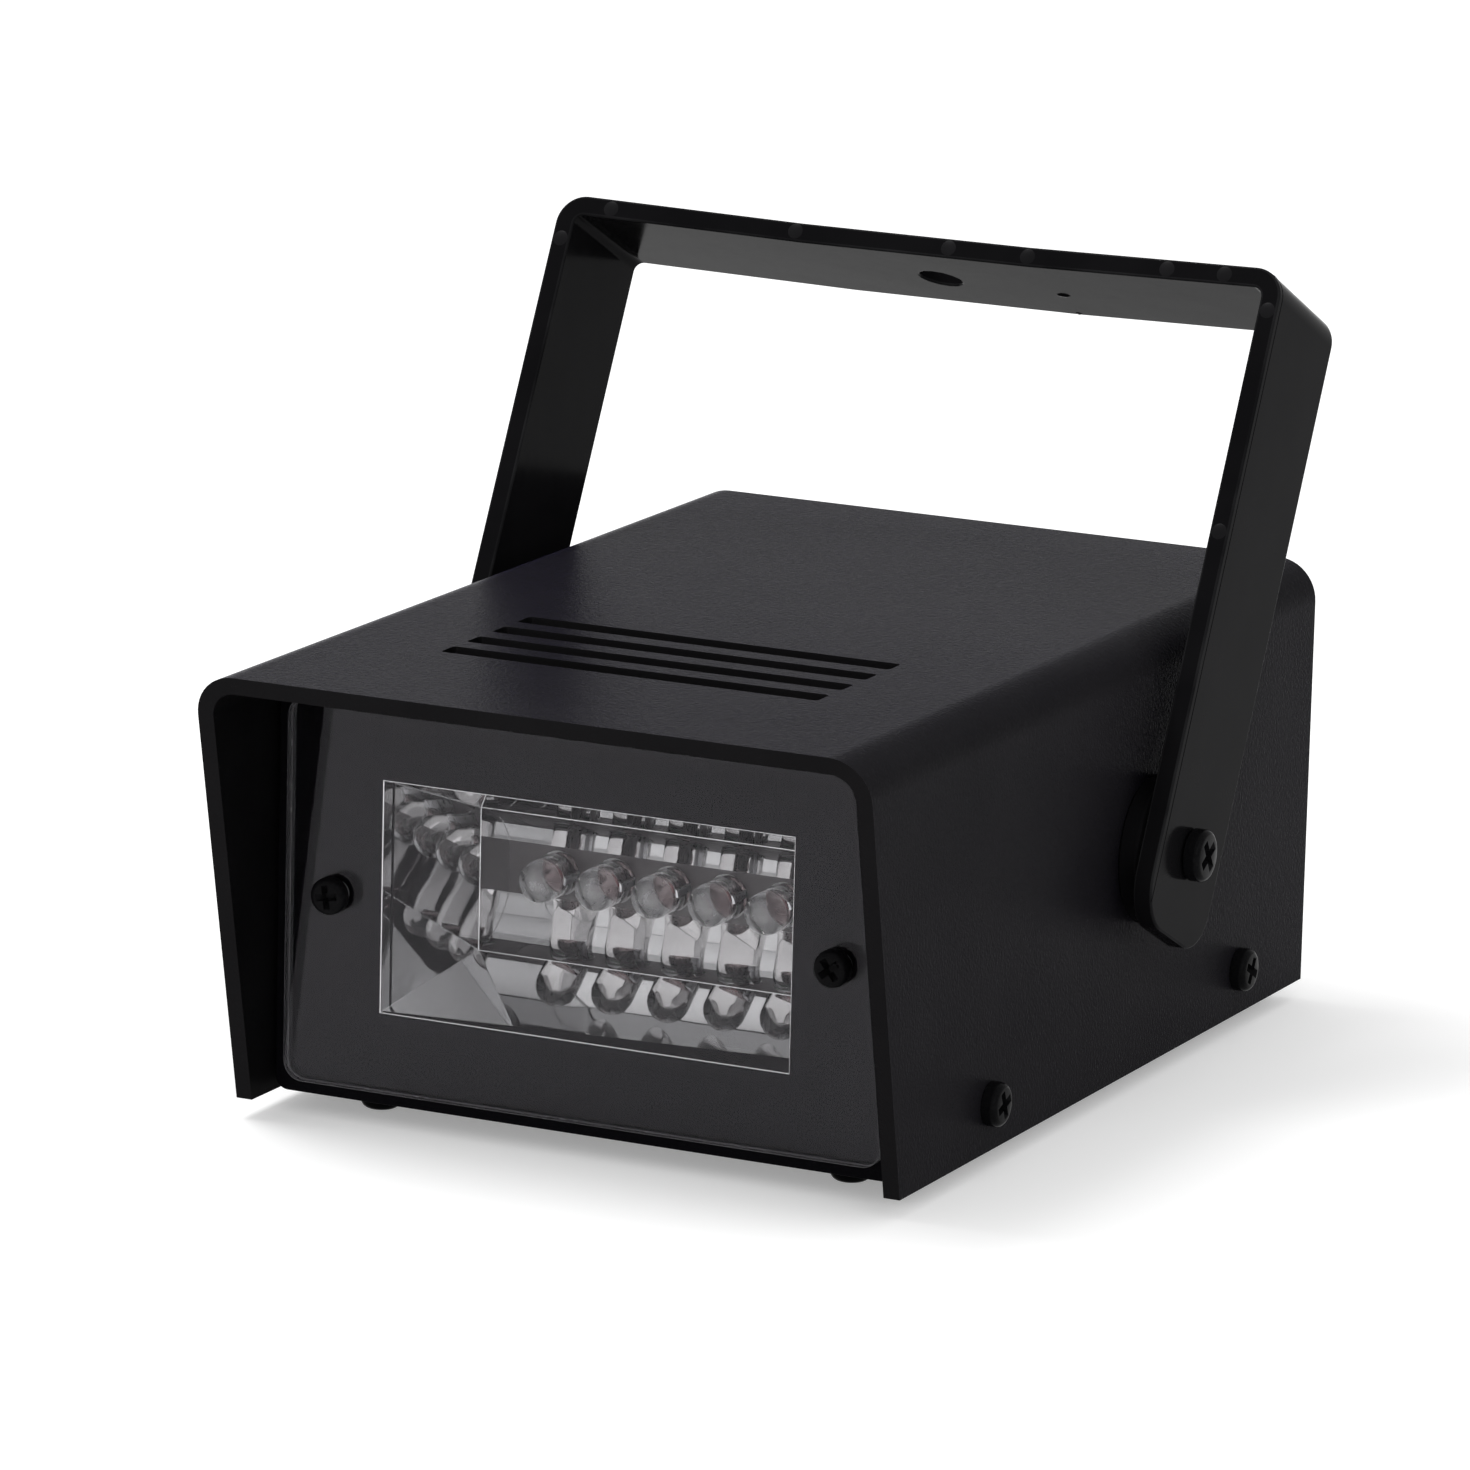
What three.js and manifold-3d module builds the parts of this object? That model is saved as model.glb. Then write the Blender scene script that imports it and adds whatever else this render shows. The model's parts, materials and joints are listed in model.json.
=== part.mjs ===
// Small strobe light on a tilting yoke, built from separate pieces.
// Millimetres. +X is to the right seen from the front, +Y runs from front to rear, +Z is up.
// Pieces are placed from the middle of the chassis floor's underside, half way along the cover. Then the
// whole moves, so that the origin is the middle of the underside of the box around it, where it stands.

import * as THREE from 'three';
import { mergeVertices } from 'three/addons/utils/BufferGeometryUtils.js';
import Module from 'manifold-3d';

const wasm = await Module();
wasm.setup();

// Cover: a moulded U, open below and behind, whose front is a visor
const coverDepth = 126.6;
const coverHeight = 52;
const coverWall = 2;
const coverEdgeRadius = 5;
const coverDrop = 0.3;
const visorSetBack = 11.2;

// Vent slots across the top, counted from the front
const slotCount = 4;
const slotLength = 47.6;
const slotWidth = 2.4;
const slotPitch = 6.3;
const slotFirstSetBack = 27;
const slotCornerRadius = 0.6;

// Chassis: front panel, floor, rear panel and low side flanges in one piece
const chassisWall = 1.4;
const chassisGap = 0.3;
const chassisFlangeHeight = 11;
const chassisCornerRadius = 1.6;
const rearPanelInset = 0.6;

// Front pane
const paneSetBack = 14.6;
const paneSideGap = 1.8;
const paneBottomGap = 1.7;
const paneTopGap = 2.5;
const paneThickness = 1.6;
const paneCornerRadius = 2.4;

// Reflector: a four-sided funnel that opens into a rounded trough with a flat band for the lamps
const mouthHeight = 27.7;
const funnelSideDepth = 5.7;
const throatHeight = 16.9;
const funnelDepth = 14.3;
const troughDepth = 7.3;
const bandHeight = 6.2;
const reflectorWall = 1;
const reflectorSideGap = 4.2;
const reflectorFlangeHeight = 33;
const reflectorFlangeThickness = 1.4;
const reflectorFlangeRadius = 2;
const windowGap = 0.2;
const bossRadius = 2.3;
const bossSetOut = 3.9;

// Lamps: clear 5 mm light-emitting diodes in one row
const lampCount = 5;
const lampPitch = 7.2;
const lampEndGap = 6.5;
const lampRadius = 2.5;
const lampLength = 9.2;
const lampRimRadius = 2.9;
const lampRimThickness = 1;
const lampHoleGap = 0.15;
const lampLeadWidth = 0.5;
const lampLeadSpacing = 2.54;
const lampLeadLength = 3.4;

// Lamp board
const lampBoardHeight = 12;
const lampBoardMargin = 3.2;
const boardThickness = 1.6;
const leadHoleRadius = 0.45;

// Control board on four spacers above the floor
const boardScrewInset = 9.7;
const boardScrewSetBack = 24;
const boardScrewRearInset = 16.6;
const boardMargin = 3.8;
const spacerHeight = 4;
const spacerRadius = 2.7;

// Yoke: one moulded U band on two pivot screws, leaning back
const yokeThickness = 2.4;
const yokeArmWidth = 19;
const yokeRise = 68.6;
const yokeTail = 10.3;
const yokeTailRadius = 5.5;
const yokeOuterRadius = 3.6;
const yokeInnerRadius = 1.2;
const yokeSag = 0.5;
const yokeFlatLength = 30;
const yokeHoleRadius = 2.65;
const yokeLeanDegrees = 26.5;
const pivotSetBack = 77.6;
const pivotHeight = 26.2;
const pivotSpacerRadius = 8.8;
const pivotSpacerThickness = 2.85;
const pivotRunningGap = 0.25;

// Screws: head radius, head height, shank radius
const sideHeadRadius = 2.6;
const sideHeadHeight = 1.9;
const sideShankRadius = 1.3;
const sideShankLength = 6;
const sideScrewHeight = 5.4;
const sideScrewFrontSetBack = 34.8;
const sideScrewRearInset = 20.2;
const paneHeadRadius = 2.2;
const paneHeadHeight = 1.7;
const paneShankRadius = 1.25;
const paneScrewInset = 6.15;
const paneScrewToMouth = 5.15;
const floorHeadRadius = 2.4;
const floorHeadHeight = 2.7;
const floorShankRadius = 1.25;
const pivotHeadRadius = 3.1;
const pivotHeadHeight = 2;
const pivotShankRadius = 1.5;
const lampBoardHeadRadius = 2;
const lampBoardHeadHeight = 1.4;
const lampBoardShankRadius = 1;
const lampBoardShankLength = 6;
const screwHoleGap = 0.2;
const screwEndLength = 0.8;
const recessDepth = 0.9;
const recessWidth = 0.7;
const recessReachShare = 0.62;
const headDomeShare = 0.35;

// Nuts: width across flats and height
const smallNutWidth = 5;
const smallNutHeight = 2;
const pivotNutWidth = 5.5;
const pivotNutHeight = 2.4;

// Speed control on the rear panel, with its knob
const controlInset = 21.7;
const controlHeight = 26.2;
const controlBodyRadius = 8.2;
const controlBodyDepth = 8;
const bushingRadius = 4.5;
const bushingLength = 6.4;
const shaftRadius = 3;
const shaftLength = 17;
const shaftFlatDepth = 1.5;
const shaftFlatLength = 9;
const shaftGap = 0.15;
const bushingBoreDepth = 10;
const controlNutWidth = 11;
const controlNutHeight = 2;
const terminalWidth = 1.2;
const terminalThickness = 0.5;
const terminalLength = 4;
const controlTerminalSpacing = 5;
const knobRadius = 8;
const knobHeight = 13;
const knobTopRadius = 7;
const knobStandOff = 0.8;
const knobEdgeChamfer = 0.5;
const knobHollowGap = 0.45;
const knobHollowDepth = 6.2;
const knobPointerWidth = 1;
const knobPointerDepth = 0.6;

// Power inlet socket on the rear panel
const inletInset = 21.7;
const inletHeight = 26.2;
const inletRimRadius = 5.5;
const inletRimThickness = 2;
const inletBodyRadius = 4;
const inletBodyLength = 12;
const inletBoreRadius = 2.85;
const inletBoreDepth = 9;
const inletPinRadius = 1;
const inletPinSetBack = 0.8;
const inletNutWidth = 10;
const inletNutHeight = 2.2;
const inletTerminalSpacing = 3;

// Parts on the control board, with their places on it
const mainCapacitorRadius = 5;
const mainCapacitorHeight = 16;
const mainCapacitorX = -18;
const mainCapacitorY = -2;
const timingCapacitorRadius = 3.2;
const timingCapacitorHeight = 11;
const timingCapacitorX = 4;
const timingCapacitorY = 4;
const capacitorGroove = 0.4;
const capacitorRimHeight = 1.6;
const timerLength = 9.6;
const timerWidth = 6.4;
const timerHeight = 3.4;
const timerX = 4;
const timerY = -14;
const rectifierLength = 14;
const rectifierWidth = 3.6;
const rectifierHeight = 11;
const rectifierX = 18;
const rectifierY = 28;
const switchLength = 10;
const switchThickness = 4.5;
const switchHeight = 15;
const switchTabThickness = 1.3;
const switchTabHeight = 6;
const switchHoleRadius = 1.8;
const switchX = 20;
const switchY = -4;

// Internal leads
const wireRadius = 0.7;
const wireSeat = 0.3;
const lampWireX = 21;
const lampWireLandingX = 12;
const lampWireBow = 7;
const lampWireDrop = 9;
const lampWireLandingDepth = 9;
const rearWireLandingDepth = 20;
const rearWireBow = 5;

// Counts of facets
const screwSides = 14;
const lampSides = 16;
const roundSides = 32;
const holeSides = 12;
const leadHoleSides = 6;
const wireSides = 8;
const wireSteps = 14;
const arcSteps = 6;
const domeSteps = 3;
const troughSteps = 5;
const knobSides = 36;

// One overrun for all cuts
const overrun = 1;

// Places worked out from the sizes above, from the lamp row outwards
const throatWidth = (lampCount - 1) * lampPitch + 2 * lampEndGap;
const mouthWidth = throatWidth + 2 * funnelSideDepth;
const paneScrewX = mouthWidth / 2 + paneScrewToMouth;
const paneWidth = 2 * (paneScrewX + paneScrewInset);
const chassisSideX = paneWidth / 2 + paneSideGap;
const coverInnerX = chassisSideX + chassisGap;
const coverWidth = 2 * (coverInnerX + coverWall);
const bossX = throatWidth / 2 + bossSetOut;
const reflectorFlangeX = chassisSideX - reflectorSideGap;
const boardScrewX = chassisSideX - boardScrewInset;
const controlX = controlInset - chassisSideX;
const inletX = chassisSideX - inletInset;
const frontY = -coverDepth / 2;
const rearY = coverDepth / 2;
const coverBottomZ = -coverDrop;
const coverTopZ = coverBottomZ + coverHeight;
const coverInnerTopZ = coverTopZ - coverWall;
const chassisTopZ = coverInnerTopZ - chassisGap;
const paneTopZ = chassisTopZ - paneTopGap;
const lightHeight = (paneBottomGap + paneTopZ) / 2;
const paneFrontY = frontY + paneSetBack;
const panelFrontY = paneFrontY + paneThickness;
const panelRearY = panelFrontY + chassisWall;
const rearPanelOuterY = rearY - rearPanelInset;
const rearPanelInnerY = rearPanelOuterY - chassisWall;
const throatY = panelFrontY + funnelDepth;
const bandY = throatY + troughDepth;
const lampSeatY = bandY + reflectorWall;
const lampBoardFrontY = lampSeatY + lampRimThickness;
const lampBoardRearY = lampBoardFrontY + boardThickness;
const boardBottomZ = chassisWall + spacerHeight;
const boardTopZ = boardBottomZ + boardThickness;
const boardFrontScrewY = frontY + boardScrewSetBack;
const boardRearScrewY = rearY - boardScrewRearInset;
const boardMiddleY = (boardFrontScrewY + boardRearScrewY) / 2;
const pivotY = frontY + pivotSetBack;
const armInnerX = coverWidth / 2 + pivotSpacerThickness + pivotRunningGap;
const armOuterX = armInnerX + yokeThickness;
const armHeadX = armOuterX + pivotRunningGap;

// Finishes
const blackMoulding = { color: 0x1b1b1d, roughness: 0.55, metalness: 0 };
const glossBlack = { color: 0x141416, roughness: 0.22, metalness: 0 };
const clearPlastic = { color: 0xdfe6ea, roughness: 0.05, metalness: 0 };
const chromePlating = { color: 0xe6e6ea, roughness: 0.06, metalness: 1 };
const blackScrew = { color: 0x101012, roughness: 0.35, metalness: 0.6 };
const zincPlating = { color: 0xb9bcc0, roughness: 0.35, metalness: 1 };
const circuitBoard = { color: 0x1f5a34, roughness: 0.5, metalness: 0 };
const blackResin = { color: 0x18181a, roughness: 0.5, metalness: 0 };
const capacitorSleeve = { color: 0x20263a, roughness: 0.4, metalness: 0 };
const redWire = { color: 0xa01818, roughness: 0.5, metalness: 0 };
const blackWire = { color: 0x151515, roughness: 0.5, metalness: 0 };
const knobPlastic = { color: 0x161616, roughness: 0.45, metalness: 0 };

const model = new THREE.Group();

// Shape helpers

function weld(geometry) {
  const bare = geometry.clone();
  bare.deleteAttribute('normal');
  bare.deleteAttribute('uv');
  const welded = mergeVertices(bare);
  const corners = welded.index.array;
  const kept = [];
  for (let i = 0; i < corners.length; i += 3) {
    const [a, b, c] = [corners[i], corners[i + 1], corners[i + 2]];
    if (a !== b && b !== c && c !== a) kept.push(a, b, c);
  }
  welded.setIndex(kept);
  return welded;
}

function solid(geometry) {
  const welded = weld(geometry);
  return new wasm.Manifold(new wasm.Mesh({
    numProp: 3,
    vertProperties: new Float32Array(welded.attributes.position.array),
    triVerts: new Uint32Array(welded.index.array),
  }));
}

function surface(body) {
  const mesh = body.getMesh();
  const geometry = new THREE.BufferGeometry();
  geometry.setAttribute('position', new THREE.BufferAttribute(mesh.vertProperties, 3));
  geometry.setIndex(new THREE.BufferAttribute(mesh.triVerts, 1));
  geometry.computeVertexNormals();
  return geometry;
}

function joined(bodies) {
  return bodies.reduce((whole, body) => whole.add(body));
}

function cut(body, tools) {
  return tools.reduce((left, tool) => left.subtract(tool), body);
}

function block(x0, x1, y0, y1, z0, z1) {
  const geometry = new THREE.BoxGeometry(x1 - x0, y1 - y0, z1 - z0);
  return geometry.translate((x0 + x1) / 2, (y0 + y1) / 2, (z0 + z1) / 2);
}

function rodAlongX(radius, x0, x1, y, z, sides) {
  const geometry = new THREE.CylinderGeometry(radius, radius, x1 - x0, sides);
  return geometry.rotateZ(-Math.PI / 2).translate((x0 + x1) / 2, y, z);
}

function rodAlongY(radius, y0, y1, x, z, sides) {
  const geometry = new THREE.CylinderGeometry(radius, radius, y1 - y0, sides);
  return geometry.translate(x, (y0 + y1) / 2, z);
}

function rodAlongZ(radius, z0, z1, x, y, sides) {
  const geometry = new THREE.CylinderGeometry(radius, radius, z1 - z0, sides);
  return geometry.rotateX(Math.PI / 2).translate(x, y, (z0 + z1) / 2);
}

function extruded(shape, depth) {
  return new THREE.ExtrudeGeometry(shape, { depth, bevelEnabled: false, curveSegments: arcSteps });
}

// A shape drawn in Y and Z, drawn out from x0 to x1
function acrossX(shape, x0, x1) {
  const turn = new THREE.Matrix4().makeBasis(
    new THREE.Vector3(0, 1, 0), new THREE.Vector3(0, 0, 1), new THREE.Vector3(1, 0, 0));
  return extruded(shape, x1 - x0).applyMatrix4(turn).translate(x0, 0, 0);
}

// A shape drawn in X and Z, drawn out from y0 to y1
function acrossY(shape, y0, y1) {
  const turn = new THREE.Matrix4().makeBasis(
    new THREE.Vector3(1, 0, 0), new THREE.Vector3(0, 0, 1), new THREE.Vector3(0, -1, 0));
  return extruded(shape, y1 - y0).applyMatrix4(turn).translate(0, y1, 0);
}

// A shape drawn in X and Y, drawn up from z0 to z1
function acrossZ(shape, z0, z1) {
  return extruded(shape, z1 - z0).translate(0, 0, z0);
}

function outline(points) {
  return new THREE.Shape(points.map(([a, b]) => new THREE.Vector2(a, b)));
}

// A rectangle with its own radius at the lower and the upper corners
function roundedRectangle(x0, x1, z0, z1, lowerRadius, upperRadius) {
  const shape = new THREE.Shape();
  shape.moveTo(x0 + lowerRadius, z0);
  shape.lineTo(x1 - lowerRadius, z0);
  shape.absarc(x1 - lowerRadius, z0 + lowerRadius, lowerRadius, -Math.PI / 2, 0);
  shape.lineTo(x1, z1 - upperRadius);
  shape.absarc(x1 - upperRadius, z1 - upperRadius, upperRadius, 0, Math.PI / 2);
  shape.lineTo(x0 + upperRadius, z1);
  shape.absarc(x0 + upperRadius, z1 - upperRadius, upperRadius, Math.PI / 2, Math.PI);
  shape.lineTo(x0, z0 + lowerRadius);
  shape.absarc(x0 + lowerRadius, z0 + lowerRadius, lowerRadius, Math.PI, Math.PI * 3 / 2);
  return shape;
}

// A profile of radius and height turned about +Z
function turned(profile, sides) {
  const points = profile.map(([radius, height]) => new THREE.Vector2(radius, height));
  return new THREE.LatheGeometry(points, sides).rotateX(Math.PI / 2);
}

function hexagonalNut(width, height, boreRadius) {
  const hexagon = new THREE.CylinderGeometry(width / Math.sqrt(3), width / Math.sqrt(3), height, 6);
  const body = solid(hexagon.rotateX(Math.PI / 2).translate(0, 0, height / 2));
  return surface(body.subtract(solid(rodAlongZ(boreRadius, -overrun, height + overrun, 0, 0, holeSides))));
}

// A pan-head screw along Z: its head stands above z = 0 and its shank runs down
function panHeadScrew(headRadius, headHeight, shankRadius, shankLength) {
  const dome = headHeight * headDomeShare;
  const profile = [[0, -shankLength], [shankRadius, -shankLength], [shankRadius, 0], [headRadius, 0]];
  for (let i = 0; i <= domeSteps; i += 1) {
    const angle = (Math.PI / 2) * (i / domeSteps);
    const radius = headRadius - dome + dome * Math.cos(angle);
    profile.push([radius, headHeight - dome + dome * Math.sin(angle)]);
  }
  profile.push([0, headHeight]);
  const reach = headRadius * recessReachShare;
  const floor = headHeight - recessDepth;
  const top = headHeight + overrun;
  const arms = [
    solid(block(-reach, reach, -recessWidth / 2, recessWidth / 2, floor, top)),
    solid(block(-recessWidth / 2, recessWidth / 2, -reach, reach, floor, top)),
  ];
  return surface(cut(solid(turned(profile, screwSides)), arms));
}

function addPiece(name, geometry, finish, parent = model) {
  const mesh = new THREE.Mesh(geometry, new THREE.MeshStandardMaterial(finish));
  mesh.name = name;
  parent.add(mesh);
  return mesh;
}

// Cover

function coverSection() {
  const outerX = coverWidth / 2;
  const innerRadius = coverEdgeRadius - coverWall;
  const shape = new THREE.Shape();
  shape.moveTo(outerX, coverBottomZ);
  shape.lineTo(outerX, coverTopZ - coverEdgeRadius);
  shape.absarc(outerX - coverEdgeRadius, coverTopZ - coverEdgeRadius, coverEdgeRadius, 0, Math.PI / 2);
  shape.lineTo(coverEdgeRadius - outerX, coverTopZ);
  shape.absarc(coverEdgeRadius - outerX, coverTopZ - coverEdgeRadius, coverEdgeRadius, Math.PI / 2, Math.PI);
  shape.lineTo(-outerX, coverBottomZ);
  shape.lineTo(-coverInnerX, coverBottomZ);
  shape.lineTo(-coverInnerX, coverInnerTopZ - innerRadius);
  shape.absarc(innerRadius - coverInnerX, coverInnerTopZ - innerRadius, innerRadius, Math.PI, Math.PI / 2, true);
  shape.lineTo(coverInnerX - innerRadius, coverInnerTopZ);
  shape.absarc(coverInnerX - innerRadius, coverInnerTopZ - innerRadius, innerRadius, Math.PI / 2, 0, true);
  shape.lineTo(coverInnerX, coverBottomZ);
  return shape;
}

// What the slanting front edge of the visor cuts away
function visorCut() {
  const slope = visorSetBack / coverHeight;
  const wedge = outline([
    [frontY - overrun, coverBottomZ - overrun],
    [frontY + visorSetBack + slope * overrun, coverBottomZ - overrun],
    [frontY - slope * overrun, coverTopZ + overrun],
    [frontY - overrun, coverTopZ + overrun],
  ]);
  return solid(acrossX(wedge, -coverWidth, coverWidth));
}

function ventSlot(index) {
  const y = frontY + slotFirstSetBack + index * slotPitch;
  const radius = slotCornerRadius;
  const shape = roundedRectangle(
    -slotLength / 2, slotLength / 2, y - slotWidth / 2, y + slotWidth / 2, radius, radius);
  return solid(acrossZ(shape, coverInnerTopZ - overrun, coverTopZ + overrun));
}

function sideScrewPlaces() {
  const places = [];
  for (const side of [-1, 1]) {
    places.push({ side, end: 'front', y: frontY + sideScrewFrontSetBack });
    places.push({ side, end: 'rear', y: rearY - sideScrewRearInset });
  }
  return places;
}

function makeCover() {
  const tools = [visorCut()];
  for (let i = 0; i < slotCount; i += 1) tools.push(ventSlot(i));
  for (const { side, y } of sideScrewPlaces()) {
    const x = side * (coverWidth / 2 - coverWall / 2);
    tools.push(solid(rodAlongX(sideShankRadius + screwHoleGap, x - coverWall, x + coverWall,
      y, sideScrewHeight, holeSides)));
  }
  for (const side of [-1, 1]) {
    const x = side * (coverWidth / 2 - coverWall / 2);
    tools.push(solid(rodAlongX(pivotShankRadius + screwHoleGap, x - coverWall, x + coverWall,
      pivotY, pivotHeight, holeSides)));
  }
  const shell = cut(solid(acrossY(coverSection(), frontY, rearY)), tools);
  addPiece('top_cover', surface(shell), blackMoulding);
}

// Chassis

function chassisPanel(y0, y1) {
  const upperRadius = coverEdgeRadius - coverWall - chassisGap;
  const shape = roundedRectangle(-chassisSideX, chassisSideX, 0, chassisTopZ, chassisCornerRadius, upperRadius);
  return solid(acrossY(shape, y0, y1));
}

function windowCut() {
  const halfWidth = mouthWidth / 2 + reflectorWall + windowGap;
  const halfHeight = mouthHeight / 2 + reflectorWall + windowGap;
  return solid(block(-halfWidth, halfWidth, panelFrontY - overrun, panelRearY + overrun,
    lightHeight - halfHeight, lightHeight + halfHeight));
}

function paneScrewHole(side, y0, y1) {
  const radius = paneShankRadius + screwHoleGap;
  return solid(rodAlongY(radius, y0 - overrun, y1 + overrun, side * paneScrewX, lightHeight, holeSides));
}

function boardScrewPlaces() {
  const places = [];
  for (const end of ['front', 'rear']) {
    for (const side of [-1, 1]) {
      const y = end === 'front' ? boardFrontScrewY : boardRearScrewY;
      places.push({ side, end, x: side * boardScrewX, y });
    }
  }
  return places;
}

function makeChassis() {
  const trough = roundedRectangle(-chassisSideX, chassisSideX, 0, chassisFlangeHeight, chassisCornerRadius, 0);
  const hollow = roundedRectangle(chassisWall - chassisSideX, chassisSideX - chassisWall,
    chassisWall, chassisFlangeHeight + overrun, chassisCornerRadius, 0);
  const tools = [windowCut()];
  for (const side of [-1, 1]) tools.push(paneScrewHole(side, panelFrontY, panelRearY));
  for (const { x, y } of boardScrewPlaces()) {
    tools.push(solid(rodAlongZ(floorShankRadius + screwHoleGap, -overrun, chassisWall + overrun, x, y, holeSides)));
  }
  for (const { side, y } of sideScrewPlaces()) {
    const x = side * (chassisSideX - chassisWall / 2);
    tools.push(solid(rodAlongX(sideShankRadius + screwHoleGap, x - chassisWall, x + chassisWall,
      y, sideScrewHeight, holeSides)));
  }
  tools.push(solid(rodAlongY(bushingRadius + screwHoleGap, rearPanelInnerY - overrun, rearPanelOuterY + overrun,
    controlX, controlHeight, holeSides)));
  tools.push(solid(rodAlongY(inletBodyRadius + screwHoleGap, rearPanelInnerY - overrun, rearPanelOuterY + overrun,
    inletX, inletHeight, holeSides)));
  const tray = solid(acrossY(trough, panelFrontY, rearPanelOuterY)).subtract(
    solid(acrossY(hollow, panelRearY, rearPanelInnerY)));
  const panels = [chassisPanel(panelFrontY, panelRearY), chassisPanel(rearPanelInnerY, rearPanelOuterY)];
  addPiece('chassis', surface(cut(joined([tray, ...panels]), tools)), blackMoulding);
}

// Front pane

function makePane() {
  const shape = roundedRectangle(-paneWidth / 2, paneWidth / 2, paneBottomGap, paneTopZ,
    paneCornerRadius, paneCornerRadius);
  const holes = [-1, 1].map((side) => paneScrewHole(side, paneFrontY, panelFrontY));
  addPiece('front_pane', surface(cut(solid(acrossY(shape, paneFrontY, panelFrontY)), holes)), clearPlastic);
}

// Reflector

// Side view of the funnel and trough, in Y and Z, grown outward by a wall
function troughSide(grow) {
  const points = [
    [panelFrontY - (grow > 0 ? 0 : overrun), -mouthHeight / 2 - grow],
    [panelFrontY, -mouthHeight / 2 - grow],
  ];
  const halves = [];
  for (let i = 0; i <= troughSteps; i += 1) {
    const angle = (Math.PI / 2) * (i / troughSteps);
    const height = bandHeight / 2 + (throatHeight - bandHeight) / 2 * Math.cos(angle);
    halves.push([throatY + troughDepth * Math.sin(angle) + grow * Math.sin(angle), height + grow]);
  }
  for (const [y, height] of halves) points.push([y, -height]);
  for (const [y, height] of [...halves].reverse()) points.push([y, height]);
  points.push([panelFrontY, mouthHeight / 2 + grow]);
  points.push([panelFrontY - (grow > 0 ? 0 : overrun), mouthHeight / 2 + grow]);
  return outline(points.map(([y, z]) => [y, z + lightHeight]));
}

// Plan of the funnel and trough, in X and Y, grown outward by a wall
function troughPlan(grow) {
  const start = panelFrontY - (grow > 0 ? 0 : overrun);
  const mouth = mouthWidth / 2 + grow;
  const throat = throatWidth / 2 + grow;
  const back = bandY + grow;
  return outline([
    [-mouth, start], [mouth, start], [mouth, panelFrontY], [throat, throatY],
    [throat, back], [-throat, back], [-throat, throatY], [-mouth, panelFrontY],
  ]);
}

function troughSolid(grow) {
  const along = solid(acrossX(troughSide(grow), -mouthWidth, mouthWidth));
  return along.intersect(solid(acrossZ(troughPlan(grow), lightHeight - mouthHeight, lightHeight + mouthHeight)));
}

function lampPlaces() {
  const places = [];
  for (let i = 0; i < lampCount; i += 1) places.push((i - (lampCount - 1) / 2) * lampPitch);
  return places;
}

function makeReflector() {
  const flange = roundedRectangle(-reflectorFlangeX, reflectorFlangeX,
    lightHeight - reflectorFlangeHeight / 2, lightHeight + reflectorFlangeHeight / 2,
    reflectorFlangeRadius, reflectorFlangeRadius);
  const bodies = [
    troughSolid(reflectorWall),
    solid(acrossY(flange, panelRearY, panelRearY + reflectorFlangeThickness)),
  ];
  for (const side of [-1, 1]) {
    bodies.push(solid(rodAlongY(bossRadius, panelRearY, lampBoardFrontY,
      side * bossX, lightHeight, screwSides)));
  }
  const tools = [troughSolid(0)];
  for (const side of [-1, 1]) {
    tools.push(paneScrewHole(side, panelRearY, panelRearY + reflectorFlangeThickness));
    tools.push(solid(rodAlongY(lampBoardShankRadius + screwHoleGap, lampBoardRearY - lampBoardShankLength - overrun,
      lampBoardFrontY + overrun, side * bossX, lightHeight, holeSides)));
  }
  for (const x of lampPlaces()) {
    tools.push(solid(rodAlongY(lampRadius + lampHoleGap, bandY - overrun, lampSeatY + overrun,
      x, lightHeight, lampSides)));
  }
  addPiece('reflector', surface(cut(joined(bodies), tools)), chromePlating);
}

// Lamps and their board

function lampGeometry() {
  const cylinderTop = lampLength - lampRadius;
  const profile = [[0, 0], [lampRimRadius, 0], [lampRimRadius, lampRimThickness], [lampRadius, lampRimThickness]];
  for (let i = 0; i < domeSteps; i += 1) {
    const angle = (Math.PI / 2) * (i / domeSteps);
    profile.push([lampRadius * Math.cos(angle), cylinderTop + lampRadius * Math.sin(angle)]);
  }
  profile.push([0, lampLength]);
  const half = lampLeadWidth / 2;
  const leads = [-1, 1].map((side) => {
    const x = side * lampLeadSpacing / 2;
    return solid(block(x - half, x + half, -half, half, -lampLeadLength, lampRimThickness / 2));
  });
  return surface(joined([solid(turned(profile, lampSides)), ...leads]));
}

function makeLamps() {
  const geometry = lampGeometry();
  lampPlaces().forEach((x, i) => {
    const lamp = addPiece(`lamp_${i + 1}`, geometry.clone(), clearPlastic);
    lamp.position.set(x, lampBoardFrontY, lightHeight);
    lamp.rotation.x = Math.PI / 2;
  });
}

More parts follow.
